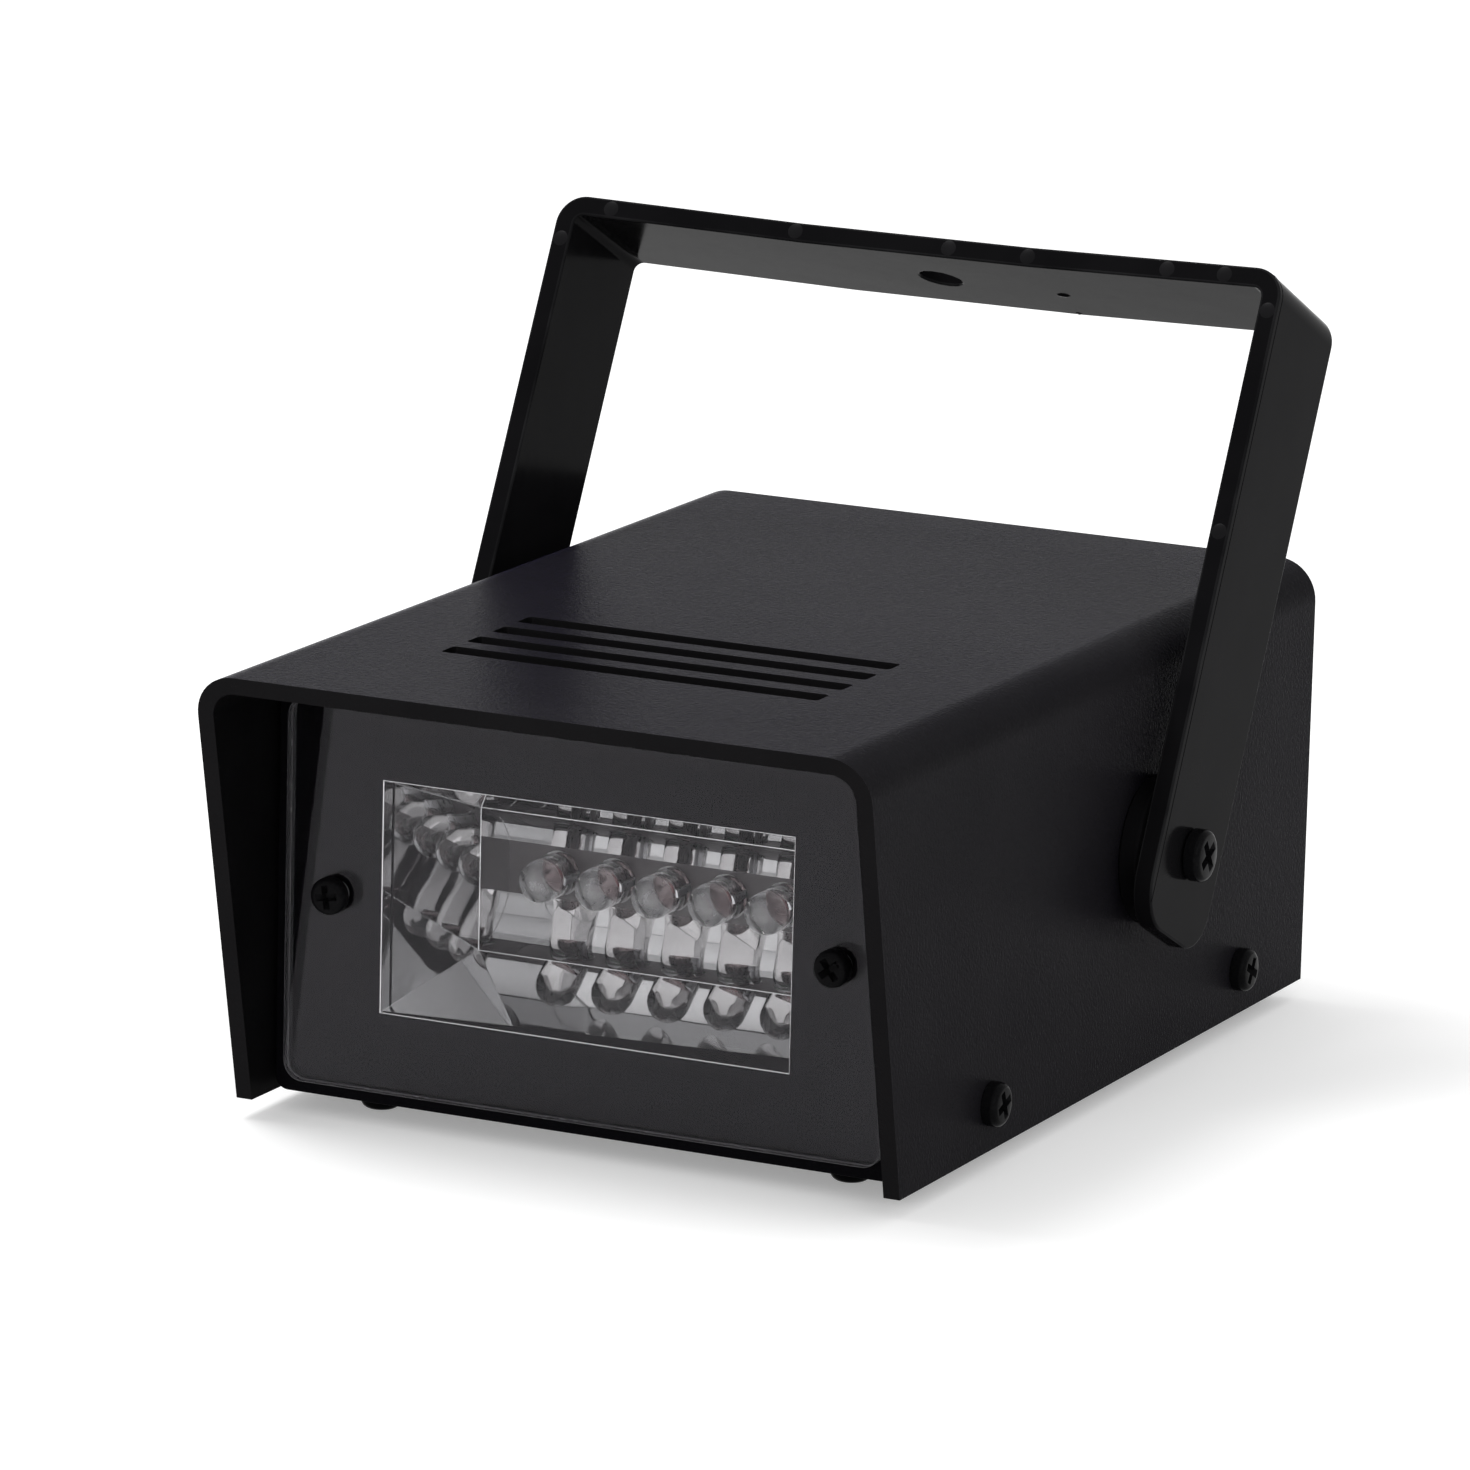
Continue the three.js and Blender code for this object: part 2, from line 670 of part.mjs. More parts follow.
function makeLampBoard() {
  const halfWidth = bossX + lampBoardMargin;
  const board = solid(block(-halfWidth, halfWidth, lampBoardFrontY, lampBoardRearY,
    lightHeight - lampBoardHeight / 2, lightHeight + lampBoardHeight / 2));
  const tools = [];
  for (const x of lampPlaces()) {
    for (const side of [-1, 1]) {
      tools.push(solid(rodAlongY(leadHoleRadius, lampBoardFrontY - overrun, lampBoardRearY + overrun,
        x + side * lampLeadSpacing / 2, lightHeight, leadHoleSides)));
    }
  }
  for (const side of [-1, 1]) {
    tools.push(solid(rodAlongY(lampBoardShankRadius + screwHoleGap, lampBoardFrontY - overrun,
      lampBoardRearY + overrun, side * bossX, lightHeight, holeSides)));
    const screw = addPiece(side < 0 ? 'lamp_board_screw_left' : 'lamp_board_screw_right',
      panHeadScrew(lampBoardHeadRadius, lampBoardHeadHeight, lampBoardShankRadius, lampBoardShankLength),
      zincPlating);
    screw.position.set(side * bossX, lampBoardRearY, lightHeight);
    screw.rotation.x = -Math.PI / 2;
  }
  addPiece('lamp_board', surface(cut(board, tools)), circuitBoard);
}

// Screws and nuts of the pane and the sides

function makePaneFasteners() {
  const nutY = panelRearY + reflectorFlangeThickness;
  const shankLength = nutY + smallNutHeight + screwEndLength - paneFrontY;
  for (const side of [-1, 1]) {
    const hand = side < 0 ? 'left' : 'right';
    const screw = addPiece(`pane_screw_${hand}`,
      panHeadScrew(paneHeadRadius, paneHeadHeight, paneShankRadius, shankLength), blackScrew);
    screw.position.set(side * paneScrewX, paneFrontY, lightHeight);
    screw.rotation.x = Math.PI / 2;
    const nut = addPiece(`pane_nut_${hand}`,
      hexagonalNut(smallNutWidth, smallNutHeight, paneShankRadius + screwHoleGap), zincPlating);
    nut.position.set(side * paneScrewX, nutY, lightHeight);
    nut.rotation.x = -Math.PI / 2;
  }
}

function makeSideScrews() {
  for (const { side, end, y } of sideScrewPlaces()) {
    const hand = side < 0 ? 'left' : 'right';
    const screw = addPiece(`side_screw_${end}_${hand}`,
      panHeadScrew(sideHeadRadius, sideHeadHeight, sideShankRadius, sideShankLength), blackScrew);
    screw.position.set(side * coverWidth / 2, y, sideScrewHeight);
    screw.rotation.y = side * Math.PI / 2;
  }
}

// Control board, its spacers and fasteners

function makeControlBoard() {
  const halfWidth = boardScrewX + boardMargin;
  const halfDepth = (boardRearScrewY - boardFrontScrewY) / 2 + boardMargin;
  const board = solid(block(-halfWidth, halfWidth, boardMiddleY - halfDepth, boardMiddleY + halfDepth,
    boardBottomZ, boardTopZ));
  const tools = boardScrewPlaces().map(({ x, y }) => solid(rodAlongZ(
    floorShankRadius + screwHoleGap, boardBottomZ - overrun, boardTopZ + overrun, x, y, holeSides)));
  addPiece('control_board', surface(cut(board, tools)), circuitBoard);
}

function makeBoardFasteners() {
  const shankLength = boardTopZ + smallNutHeight + screwEndLength;
  for (const { side, end, x, y } of boardScrewPlaces()) {
    const place = `${end}_${side < 0 ? 'left' : 'right'}`;
    const screw = addPiece(`floor_screw_${place}`,
      panHeadScrew(floorHeadRadius, floorHeadHeight, floorShankRadius, shankLength), blackScrew);
    screw.position.set(x, y, 0);
    screw.rotation.x = Math.PI;
    const bore = floorShankRadius + screwHoleGap;
    const sleeve = solid(rodAlongZ(spacerRadius, 0, spacerHeight, 0, 0, screwSides));
    const hole = solid(rodAlongZ(bore, -overrun, spacerHeight + overrun, 0, 0, holeSides));
    addPiece(`board_spacer_${place}`, surface(sleeve.subtract(hole)), blackResin).position.set(x, y, chassisWall);
    const nut = addPiece(`board_nut_${place}`, hexagonalNut(smallNutWidth, smallNutHeight, bore), zincPlating);
    nut.position.set(x, y, boardTopZ);
  }
}

// Parts on the control board

function capacitor(radius, height) {
  const neck = radius - capacitorGroove;
  return turned([
    [0, 0], [radius, 0], [radius, capacitorRimHeight / 2], [neck, capacitorRimHeight],
    [radius, capacitorRimHeight * 3 / 2], [radius, height - capacitorGroove], [neck, height], [0, height],
  ], screwSides);
}

function makeBoardParts() {
  const main = addPiece('main_capacitor', weld(capacitor(mainCapacitorRadius, mainCapacitorHeight)), capacitorSleeve);
  main.position.set(mainCapacitorX, mainCapacitorY, boardTopZ);
  const timing = addPiece('timing_capacitor',
    weld(capacitor(timingCapacitorRadius, timingCapacitorHeight)), capacitorSleeve);
  timing.position.set(timingCapacitorX, timingCapacitorY, boardTopZ);
  const timer = addPiece('timer_chip',
    block(-timerLength / 2, timerLength / 2, -timerWidth / 2, timerWidth / 2, 0, timerHeight), blackResin);
  timer.position.set(timerX, timerY, boardTopZ);
  const rectifier = addPiece('rectifier', block(-rectifierLength / 2, rectifierLength / 2,
    -rectifierWidth / 2, rectifierWidth / 2, 0, rectifierHeight), blackResin);
  rectifier.position.set(rectifierX, rectifierY, boardTopZ);
  const tab = solid(block(-switchLength / 2, switchLength / 2, switchThickness / 2 - switchTabThickness,
    switchThickness / 2, 0, switchHeight));
  const body = solid(block(-switchLength / 2, switchLength / 2, -switchThickness / 2,
    switchThickness / 2, 0, switchHeight - switchTabHeight));
  const hole = solid(rodAlongY(switchHoleRadius, -switchThickness, switchThickness,
    0, switchHeight - switchTabHeight / 2, holeSides));
  const transistor = addPiece('switching_transistor', surface(joined([body, tab]).subtract(hole)), blackResin);
  transistor.position.set(switchX, switchY, boardTopZ);
}

// Speed control

function makeSpeedControl() {
  const bodyFront = rearPanelInnerY - controlBodyDepth;
  const bushingEnd = rearPanelInnerY + bushingLength;
  const boreStart = bushingEnd - bushingBoreDepth;
  const bodies = [
    solid(rodAlongY(controlBodyRadius, bodyFront, rearPanelInnerY, controlX, controlHeight, roundSides)),
    solid(rodAlongY(bushingRadius, bodyFront + controlBodyDepth / 2, bushingEnd, controlX, controlHeight, roundSides)),
  ];
  for (const step of [-1, 0, 1]) {
    const x = controlX + step * controlTerminalSpacing;
    const bottom = controlHeight - controlBodyRadius - terminalLength;
    bodies.push(solid(block(x - terminalWidth / 2, x + terminalWidth / 2, bodyFront + terminalThickness,
      bodyFront + terminalThickness * 2, bottom, controlHeight)));
  }
  const bore = solid(rodAlongY(shaftRadius + shaftGap, boreStart, bushingEnd + overrun,
    controlX, controlHeight, screwSides));
  addPiece('speed_control', surface(cut(joined(bodies), [bore])), zincPlating);
  const nut = addPiece('speed_control_nut',
    hexagonalNut(controlNutWidth, controlNutHeight, bushingRadius + screwHoleGap), zincPlating);
  nut.position.set(controlX, rearPanelOuterY, controlHeight);
  nut.rotation.x = -Math.PI / 2;
  return boreStart + shaftGap;
}

// A round rod with a flat at its far end, along Y from y0 to y1
function flattedRod(radius, y0, y1, flatStart, flatDepth) {
  const rod = solid(rodAlongY(radius, y0, y1, 0, 0, screwSides));
  const flat = solid(block(-radius - overrun, radius + overrun, flatStart, y1 + overrun,
    radius - flatDepth, radius + overrun));
  return rod.subtract(flat);
}

function makeKnob(shaftStart) {
  const group = new THREE.Group();
  group.position.set(controlX, 0, controlHeight);
  model.add(group);
  const shaftEnd = shaftStart + shaftLength;
  const flatStart = shaftEnd - shaftFlatLength;
  addPiece('speed_shaft', surface(flattedRod(shaftRadius, shaftStart, shaftEnd, flatStart, shaftFlatDepth)),
    zincPlating, group);
  const knobStart = rearPanelOuterY + knobStandOff;
  const knobEnd = knobStart + knobHeight;
  const profile = [[0, 0], [knobRadius, 0], [knobTopRadius, knobHeight - knobEdgeChamfer],
    [knobTopRadius - knobEdgeChamfer, knobHeight], [0, knobHeight]];
  const body = solid(turned(profile, knobSides).rotateX(-Math.PI / 2).translate(0, knobStart, 0));
  const hollowRadius = controlNutWidth / Math.sqrt(3) + knobHollowGap;
  const hollow = solid(rodAlongY(hollowRadius, knobStart - overrun, knobStart + knobHollowDepth, 0, 0, roundSides));
  const boreRadius = shaftRadius + shaftGap;
  const bore = flattedRod(boreRadius, knobStart, shaftEnd + shaftGap, knobStart, shaftFlatDepth);
  const pointer = solid(block(-knobPointerWidth / 2, knobPointerWidth / 2, knobEnd - knobPointerDepth,
    knobEnd + overrun, 0, knobRadius + overrun));
  addPiece('speed_knob', surface(cut(body, [hollow, bore, pointer])), knobPlastic, group);
}

// Power inlet

function makeInlet() {
  const rim = inletRimThickness;
  const boreFloor = rim - inletBoreDepth;
  const profile = [
    [0, -inletBodyLength], [inletBodyRadius, -inletBodyLength], [inletBodyRadius, 0], [inletRimRadius, 0],
    [inletRimRadius, rim], [inletBoreRadius, rim], [inletBoreRadius, boreFloor], [inletPinRadius, boreFloor],
    [inletPinRadius, rim - inletPinSetBack], [0, rim - inletPinSetBack],
  ];
  const bodies = [solid(turned(profile, screwSides).rotateX(-Math.PI / 2))];
  for (const side of [-1, 1]) {
    const x = side * inletTerminalSpacing / 2;
    bodies.push(solid(block(x - terminalThickness / 2, x + terminalThickness / 2,
      -inletBodyLength - terminalLength, -inletBodyLength + terminalThickness, -terminalWidth / 2, terminalWidth / 2)));
  }
  const inlet = addPiece('power_inlet', surface(joined(bodies)), blackResin);
  inlet.position.set(inletX, rearPanelOuterY, inletHeight);
  const nut = addPiece('power_inlet_nut',
    hexagonalNut(inletNutWidth, inletNutHeight, inletBodyRadius + screwHoleGap), zincPlating);
  nut.position.set(inletX, rearPanelInnerY, inletHeight);
  nut.rotation.x = Math.PI / 2;
}

// Internal leads

function wire(name, points, finish) {
  const path = new THREE.CatmullRomCurve3(points.map(([x, y, z]) => new THREE.Vector3(x, y, z)));
  const section = new THREE.Shape();
  for (let i = 0; i < wireSides; i += 1) {
    const angle = (2 * Math.PI * i) / wireSides;
    const place = [wireRadius * Math.cos(angle), wireRadius * Math.sin(angle)];
    if (i === 0) section.moveTo(...place);
    else section.lineTo(...place);
  }
  const geometry = new THREE.ExtrudeGeometry(section, { steps: wireSteps, extrudePath: path, bevelEnabled: false });
  addPiece(name, weld(geometry), finish);
}

function makeLampWires() {
  const startY = lampBoardRearY + wireSeat;
  const endZ = boardTopZ + wireSeat;
  for (const side of [-1, 1]) {
    const startX = side * lampWireX;
    const endX = side * lampWireLandingX;
    wire(side < 0 ? 'lamp_wire_black' : 'lamp_wire_red', [
      [startX, startY, lightHeight],
      [startX, startY + lampWireBow / 2, lightHeight],
      [(startX + endX) / 2, startY + lampWireBow, lightHeight - lampWireDrop],
      [endX, startY + lampWireLandingDepth, endZ + lampWireDrop / 3],
      [endX, startY + lampWireLandingDepth, endZ],
    ], side < 0 ? blackWire : redWire);
  }
}

function makeRearWires() {
  const endZ = boardTopZ + wireSeat;
  const controlStartY = rearPanelInnerY - controlBodyDepth - wireRadius;
  const controlStartZ = controlHeight - controlBodyRadius - terminalLength + wireRadius;
  for (const side of [-1, 1]) {
    const x = controlX + side * controlTerminalSpacing;
    wire(side < 0 ? 'speed_wire_black' : 'speed_wire_red', [
      [x, controlStartY, controlStartZ],
      [x, controlStartY - rearWireBow, controlStartZ],
      [x, rearPanelInnerY - rearWireLandingDepth, endZ + wireRadius * 3],
      [x, rearPanelInnerY - rearWireLandingDepth, endZ],
    ], side < 0 ? blackWire : redWire);
  }
  const inletStartY = rearPanelOuterY - inletBodyLength - terminalLength - wireSeat;
  for (const side of [-1, 1]) {
    const x = inletX + side * inletTerminalSpacing / 2;
    const endX = x + side * wireRadius * 2;
    wire(side < 0 ? 'inlet_wire_black' : 'inlet_wire_red', [
      [x, inletStartY, inletHeight],
      [x, inletStartY - rearWireBow / 3, inletHeight],
      [endX, inletStartY - rearWireBow, (inletHeight + endZ) / 2],
      [endX, inletStartY - rearWireBow, endZ],
    ], side < 0 ? blackWire : redWire);
  }
}

// Yoke and its pivots

function yokeFrontView() {
  const innerTop = yokeRise - yokeThickness;
  const shape = new THREE.Shape();
  shape.moveTo(armOuterX, -yokeTail);
  shape.lineTo(armOuterX, yokeRise - yokeOuterRadius);
  shape.absarc(armOuterX - yokeOuterRadius, yokeRise - yokeOuterRadius, yokeOuterRadius, 0, Math.PI / 2);
  shape.lineTo(yokeFlatLength / 2, yokeRise - yokeSag);
  shape.lineTo(-yokeFlatLength / 2, yokeRise - yokeSag);
  shape.lineTo(yokeOuterRadius - armOuterX, yokeRise);
  shape.absarc(yokeOuterRadius - armOuterX, yokeRise - yokeOuterRadius, yokeOuterRadius, Math.PI / 2, Math.PI);
  shape.lineTo(-armOuterX, -yokeTail);
  shape.lineTo(-armInnerX, -yokeTail);
  shape.lineTo(-armInnerX, innerTop - yokeInnerRadius);
  shape.absarc(yokeInnerRadius - armInnerX, innerTop - yokeInnerRadius, yokeInnerRadius, Math.PI, Math.PI / 2, true);
  shape.lineTo(-yokeFlatLength / 2, innerTop - yokeSag);
  shape.lineTo(yokeFlatLength / 2, innerTop - yokeSag);
  shape.lineTo(armInnerX - yokeInnerRadius, innerTop);
  shape.absarc(armInnerX - yokeInnerRadius, innerTop - yokeInnerRadius, yokeInnerRadius, Math.PI / 2, 0, true);
  shape.lineTo(armInnerX, -yokeTail);
  return shape;
}

function makeYoke() {
  const group = new THREE.Group();
  group.position.set(0, pivotY, pivotHeight);
  group.rotation.x = -THREE.MathUtils.degToRad(yokeLeanDegrees);
  model.add(group);
  const band = solid(acrossY(yokeFrontView(), -yokeArmWidth / 2, yokeArmWidth / 2));
  const sideView = roundedRectangle(-yokeArmWidth / 2, yokeArmWidth / 2, -yokeTail, yokeRise, yokeTailRadius, 0);
  const rounding = solid(acrossX(sideView, -armHeadX, armHeadX));
  const hangHole = solid(rodAlongZ(yokeHoleRadius, yokeRise - yokeThickness * 2, yokeRise + overrun,
    0, 0, screwSides));
  const pivotHole = solid(rodAlongX(pivotShankRadius + pivotRunningGap, -armHeadX, armHeadX, 0, 0, screwSides));
  addPiece('yoke', surface(cut(band.intersect(rounding), [hangHole, pivotHole])), glossBlack, group);
}

function makePivots() {
  const shankLength = armHeadX - coverInnerX + pivotNutHeight + screwEndLength;
  for (const side of [-1, 1]) {
    const hand = side < 0 ? 'left' : 'right';
    const screw = addPiece(`pivot_screw_${hand}`,
      panHeadScrew(pivotHeadRadius, pivotHeadHeight, pivotShankRadius, shankLength), blackScrew);
    screw.position.set(side * armHeadX, pivotY, pivotHeight);
    screw.rotation.y = side * Math.PI / 2;
    const disc = solid(rodAlongZ(pivotSpacerRadius, 0, pivotSpacerThickness, 0, 0, roundSides));
    const hole = solid(rodAlongZ(pivotShankRadius + screwHoleGap, -overrun, pivotSpacerThickness + overrun,
      0, 0, holeSides));
    const spacer = addPiece(`pivot_spacer_${hand}`, surface(disc.subtract(hole)), glossBlack);
    spacer.position.set(side * coverWidth / 2, pivotY, pivotHeight);
    spacer.rotation.y = side * Math.PI / 2;
    const nut = addPiece(`pivot_nut_${hand}`,
      hexagonalNut(pivotNutWidth, pivotNutHeight, pivotShankRadius + screwHoleGap), zincPlating);
    nut.position.set(side * coverInnerX, pivotY, pivotHeight);
    nut.rotation.y = -side * Math.PI / 2;
  }
}

makeCover();
makeChassis();
makePane();
makeReflector();
makeLamps();
makeLampBoard();
makePaneFasteners();
makeSideScrews();
makeControlBoard();
makeBoardFasteners();
makeBoardParts();
makeKnob(makeSpeedControl());
makeInlet();
makeLampWires();
makeRearWires();
makeYoke();
makePivots();

// The box around the whole part reaches from the cover's front to the knob's end, and down to the floor screws
const boxMiddleY = (frontY + rearPanelOuterY + knobStandOff + knobHeight) / 2;
for (const piece of model.children) piece.position.add(new THREE.Vector3(0, -boxMiddleY, floorHeadHeight));

export default model;
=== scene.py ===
import json
import math

import bmesh
import bpy
from mathutils import Matrix, Vector


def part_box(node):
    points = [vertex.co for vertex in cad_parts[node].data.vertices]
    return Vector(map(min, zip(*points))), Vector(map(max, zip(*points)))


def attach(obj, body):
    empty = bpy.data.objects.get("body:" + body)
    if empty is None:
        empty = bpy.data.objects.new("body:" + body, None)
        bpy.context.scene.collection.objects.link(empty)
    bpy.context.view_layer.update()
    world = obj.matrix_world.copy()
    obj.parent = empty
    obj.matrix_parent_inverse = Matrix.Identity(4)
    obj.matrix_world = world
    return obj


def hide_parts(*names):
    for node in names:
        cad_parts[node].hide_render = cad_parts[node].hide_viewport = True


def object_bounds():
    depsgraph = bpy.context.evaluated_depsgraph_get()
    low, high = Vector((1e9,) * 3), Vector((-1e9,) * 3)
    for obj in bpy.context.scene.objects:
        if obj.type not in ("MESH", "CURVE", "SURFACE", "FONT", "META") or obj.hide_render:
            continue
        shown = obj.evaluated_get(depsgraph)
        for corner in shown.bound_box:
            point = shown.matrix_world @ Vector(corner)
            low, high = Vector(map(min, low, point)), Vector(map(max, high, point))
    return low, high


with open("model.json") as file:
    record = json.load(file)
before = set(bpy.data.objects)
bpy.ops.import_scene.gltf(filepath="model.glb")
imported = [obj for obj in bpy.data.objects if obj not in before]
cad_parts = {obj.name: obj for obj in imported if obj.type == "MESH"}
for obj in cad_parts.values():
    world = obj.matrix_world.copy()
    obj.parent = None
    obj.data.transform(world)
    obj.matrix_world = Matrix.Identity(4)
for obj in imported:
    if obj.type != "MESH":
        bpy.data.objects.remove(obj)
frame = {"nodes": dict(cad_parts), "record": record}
cad_low, cad_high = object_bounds()
nodes = frame["nodes"]

slots = {row["node"]: row["material_slot"] for row in frame["record"]["subparts"]}

MM = 0.001
TURN = 2 * math.pi
SIDES = (-1, 1)
WEAR_AND_HIGHLIGHT_EDGES = "edge"  # the face layer that marks rounded edges, where the finish is rubbed; on the pane it picks the edges that get a painted highlight


# Places. Sizes are in millimetres unless a comment says otherwise.

CHASSIS_REAR = 62.7  # from the middle of the cover's length to the chassis's rear face
case_low, case_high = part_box("chassis")
CASE = Vector((0, case_high.y - CHASSIS_REAR * MM, case_low.z))


def at(x, y, z):
    """A point counted from the underside of the chassis floor, in its middle, half way along the cover."""
    return CASE + Vector((x, y, z)) * MM


# Camera, fitted to the photograph

AZIMUTH, ELEVATION, ROLL = 0.449328, 0.224770, 0.0251490  # radians
LENS, SENSOR = 224.124, 36
CAMERA_PLACE = (448.9, -940.9, 275.6)
NEAREST, FARTHEST = 0.05, 20  # metres


def make_camera():
    level = math.cos(ELEVATION)
    right = Vector((math.cos(AZIMUTH), math.sin(AZIMUTH), 0))
    ahead = Vector((-math.sin(AZIMUTH) * level, math.cos(AZIMUTH) * level, -math.sin(ELEVATION)))
    up = right.cross(ahead)
    across = right * math.cos(ROLL) + up * math.sin(ROLL)
    upright = up * math.cos(ROLL) - right * math.sin(ROLL)
    data = bpy.data.cameras.new("camera")
    data.lens = LENS
    data.sensor_width = SENSOR
    data.clip_start = NEAREST
    data.clip_end = FARTHEST
    camera = bpy.data.objects.new("camera", data)
    place = at(*CAMERA_PLACE)
    camera.matrix_world = Matrix((
        (across.x, upright.x, -ahead.x, place.x),
        (across.y, upright.y, -ahead.y, place.y),
        (across.z, upright.z, -ahead.z, place.z),
        (0, 0, 0, 1)))
    bpy.context.scene.collection.objects.link(camera)
    bpy.context.scene.camera = camera


# Materials

def math_node(tree, operation, *values):
    """A Math node over sockets and numbers."""
    made = tree.nodes.new("ShaderNodeMath")
    made.operation = operation
    for socket, value in zip(made.inputs, values):
        if isinstance(value, (int, float)):
            socket.default_value = value
        else:
            tree.links.new(value, socket)
    return made.outputs[0]


class Shader:
    """A Principled material whose colour, roughness and bump come from noise in object space."""

    def __init__(self, name):
        self.material = bpy.data.materials.new(name)
        self.material.use_nodes = True
        self.tree = self.material.node_tree
        self.tree.nodes.clear()
        self.output = self.tree.nodes.new("ShaderNodeOutputMaterial")
        self.surface = self.tree.nodes.new("ShaderNodeBsdfPrincipled")
        self.tree.links.new(self.surface.outputs[0], self.output.inputs[0])
        self.coordinates = self.tree.nodes.new("ShaderNodeTexCoord").outputs["Object"]

    def link(self, source, target):
        self.tree.links.new(source, target)

    def node(self, kind, **settings):
        made = self.tree.nodes.new(kind)
        for key, value in settings.items():
            setattr(made, key, value)
        return made

    def noise(self, per_mm, detail=4, roughness=0.55, stretch=None):
        """Grains of noise, so many to a millimetre, drawn out along an axis by a stretch below 1."""
        texture = self.node("ShaderNodeTexNoise")
        texture.inputs["Scale"].default_value = per_mm / MM
        texture.inputs["Detail"].default_value = detail
        texture.inputs["Roughness"].default_value = roughness
        if stretch:
            mapping = self.node("ShaderNodeMapping")
            mapping.inputs["Scale"].default_value = stretch
            self.link(self.coordinates, mapping.inputs["Vector"])
            self.link(mapping.outputs[0], texture.inputs["Vector"])
        else:
            self.link(self.coordinates, texture.inputs["Vector"])
        return texture.outputs["Fac"]

    def cell_edges(self, per_mm):
        """The distance to the nearest edge of a net of cells."""
        texture = self.node("ShaderNodeTexVoronoi", feature="DISTANCE_TO_EDGE")
        texture.inputs["Scale"].default_value = per_mm / MM
        self.link(self.coordinates, texture.inputs["Vector"])
        return texture.outputs["Distance"]

    def spread(self, source, low, high, from_low=0.3, from_high=0.7):
        """A source mapped to the range from low to high, and kept in it."""
        mapped = self.node("ShaderNodeMapRange")
        mapped.inputs["From Min"].default_value = from_low
        mapped.inputs["From Max"].default_value = from_high
        mapped.inputs["To Min"].default_value = low
        mapped.inputs["To Max"].default_value = high
        self.link(source, mapped.inputs["Value"])
        return mapped.outputs["Result"]

    def math(self, operation, a, b):
        return math_node(self.tree, operation, a, b)

    def mix(self, factor, a, b):
        made = self.node("ShaderNodeMix", data_type="RGBA")
        self.link(factor, made.inputs["Factor"])
        for socket, value in ((made.inputs["A"], a), (made.inputs["B"], b)):
            if isinstance(value, tuple):
                socket.default_value = (*value, 1)
            else:
                self.link(value, socket)
        return made.outputs["Result"]

    def tones(self, source, dark, light):
        """A colour between two tones, in clouds or grains of a source."""
        return self.mix(self.spread(source, 0, 1), dark, light)

    def wear(self, source, low, high):
        """How far the rounded edges are rubbed, in patches of a source."""
        marked = self.node("ShaderNodeAttribute", attribute_name=WEAR_AND_HIGHLIGHT_EDGES).outputs["Fac"]
        return self.math("MULTIPLY", marked, self.spread(source, low, high))

    def set(self, **values):
        """Sets or links sockets of the surface, named with underscores for spaces."""
        for key, value in values.items():
            socket = self.surface.inputs[key.replace("_", " ")]
            if isinstance(value, tuple):
                socket.default_value = (*value, 1) if len(value) == 3 else value
            elif isinstance(value, (int, float)):
                socket.default_value = value
            else:
                self.link(value, socket)

    def bump(self, height, distance_mm, strength, onto=None):
        """Relief from a height, added to another relief where one is given."""
        made = self.node("ShaderNodeBump")
        made.inputs["Distance"].default_value = distance_mm * MM
        made.inputs["Strength"].default_value = strength
        self.link(height, made.inputs["Height"])
        if onto:
            self.link(onto, made.inputs["Normal"])
        self.link(made.outputs[0], self.surface.inputs["Normal"])
        return made.outputs[0]


def black_moulding():
    """Spark-eroded black plastic with rubbed edges."""
    s = Shader("black_moulding")
    grain = s.noise(2.6, detail=3, roughness=0.6)
    cloud = s.noise(0.05, detail=3)
    rub = s.noise(0.35, detail=4)
    edge = s.wear(rub, 0.1, 0.9)
    plain = s.tones(cloud, (0.0081, 0.0078, 0.0083), (0.0108, 0.0104, 0.0110))
    rubbed = s.math("MULTIPLY", edge, 0.05)
    speckle = s.spread(s.noise(2.0, detail=2), 0.33, 0.69, 0.28, 0.72)
    s.set(Base_Color=s.mix(edge, plain, (0.030, 0.029, 0.031)),
          Roughness=s.math("SUBTRACT", s.spread(grain, 0.17, 0.27), rubbed),
          Specular_IOR_Level=speckle, IOR=1.040, Specular_Tint=(0.94, 0.91, 1.0),
          Sheen_Weight=0.03, Sheen_Roughness=0.3, Sheen_Tint=(0.35, 0.25, 1.0))
    s.bump(grain, 0.095, 0.85)
    return s.material


def gloss_black():
    """Glossy black plastic with faint flow waviness and hairline scratches."""
    s = Shader("gloss_black")
    wave = s.noise(0.06, detail=2)
    hair = s.noise(0.9, detail=4, stretch=(1, 1, 0.06))
    cloud = s.noise(0.12, detail=4)
    edge = s.wear(cloud, 0.1, 0.8)
    plain = s.tones(cloud, (0.0046, 0.0045, 0.0050), (0.0062, 0.0060, 0.0066))
    s.set(Base_Color=s.mix(edge, plain, (0.020, 0.020, 0.021)),
          Roughness=s.spread(hair, 0.12, 0.20),
          IOR=1.056, Specular_Tint=(0.96, 0.94, 1.0))
    s.bump(hair, 0.004, 0.25, s.bump(wave, 0.25, 0.2))
    return s.material


def panel_black():
    """Black front panel behind the pane."""
    s = Shader("panel_black")
    grain = s.noise(1.4, detail=4)
    s.set(Base_Color=s.tones(grain, (0.0030, 0.0028, 0.0036), (0.0042, 0.0040, 0.0050)),
          Roughness=s.spread(grain, 0.30, 0.42), IOR=1.06, Specular_Tint=(0.95, 0.93, 1.0))
    s.bump(grain, 0.02, 0.3)
    return s.material


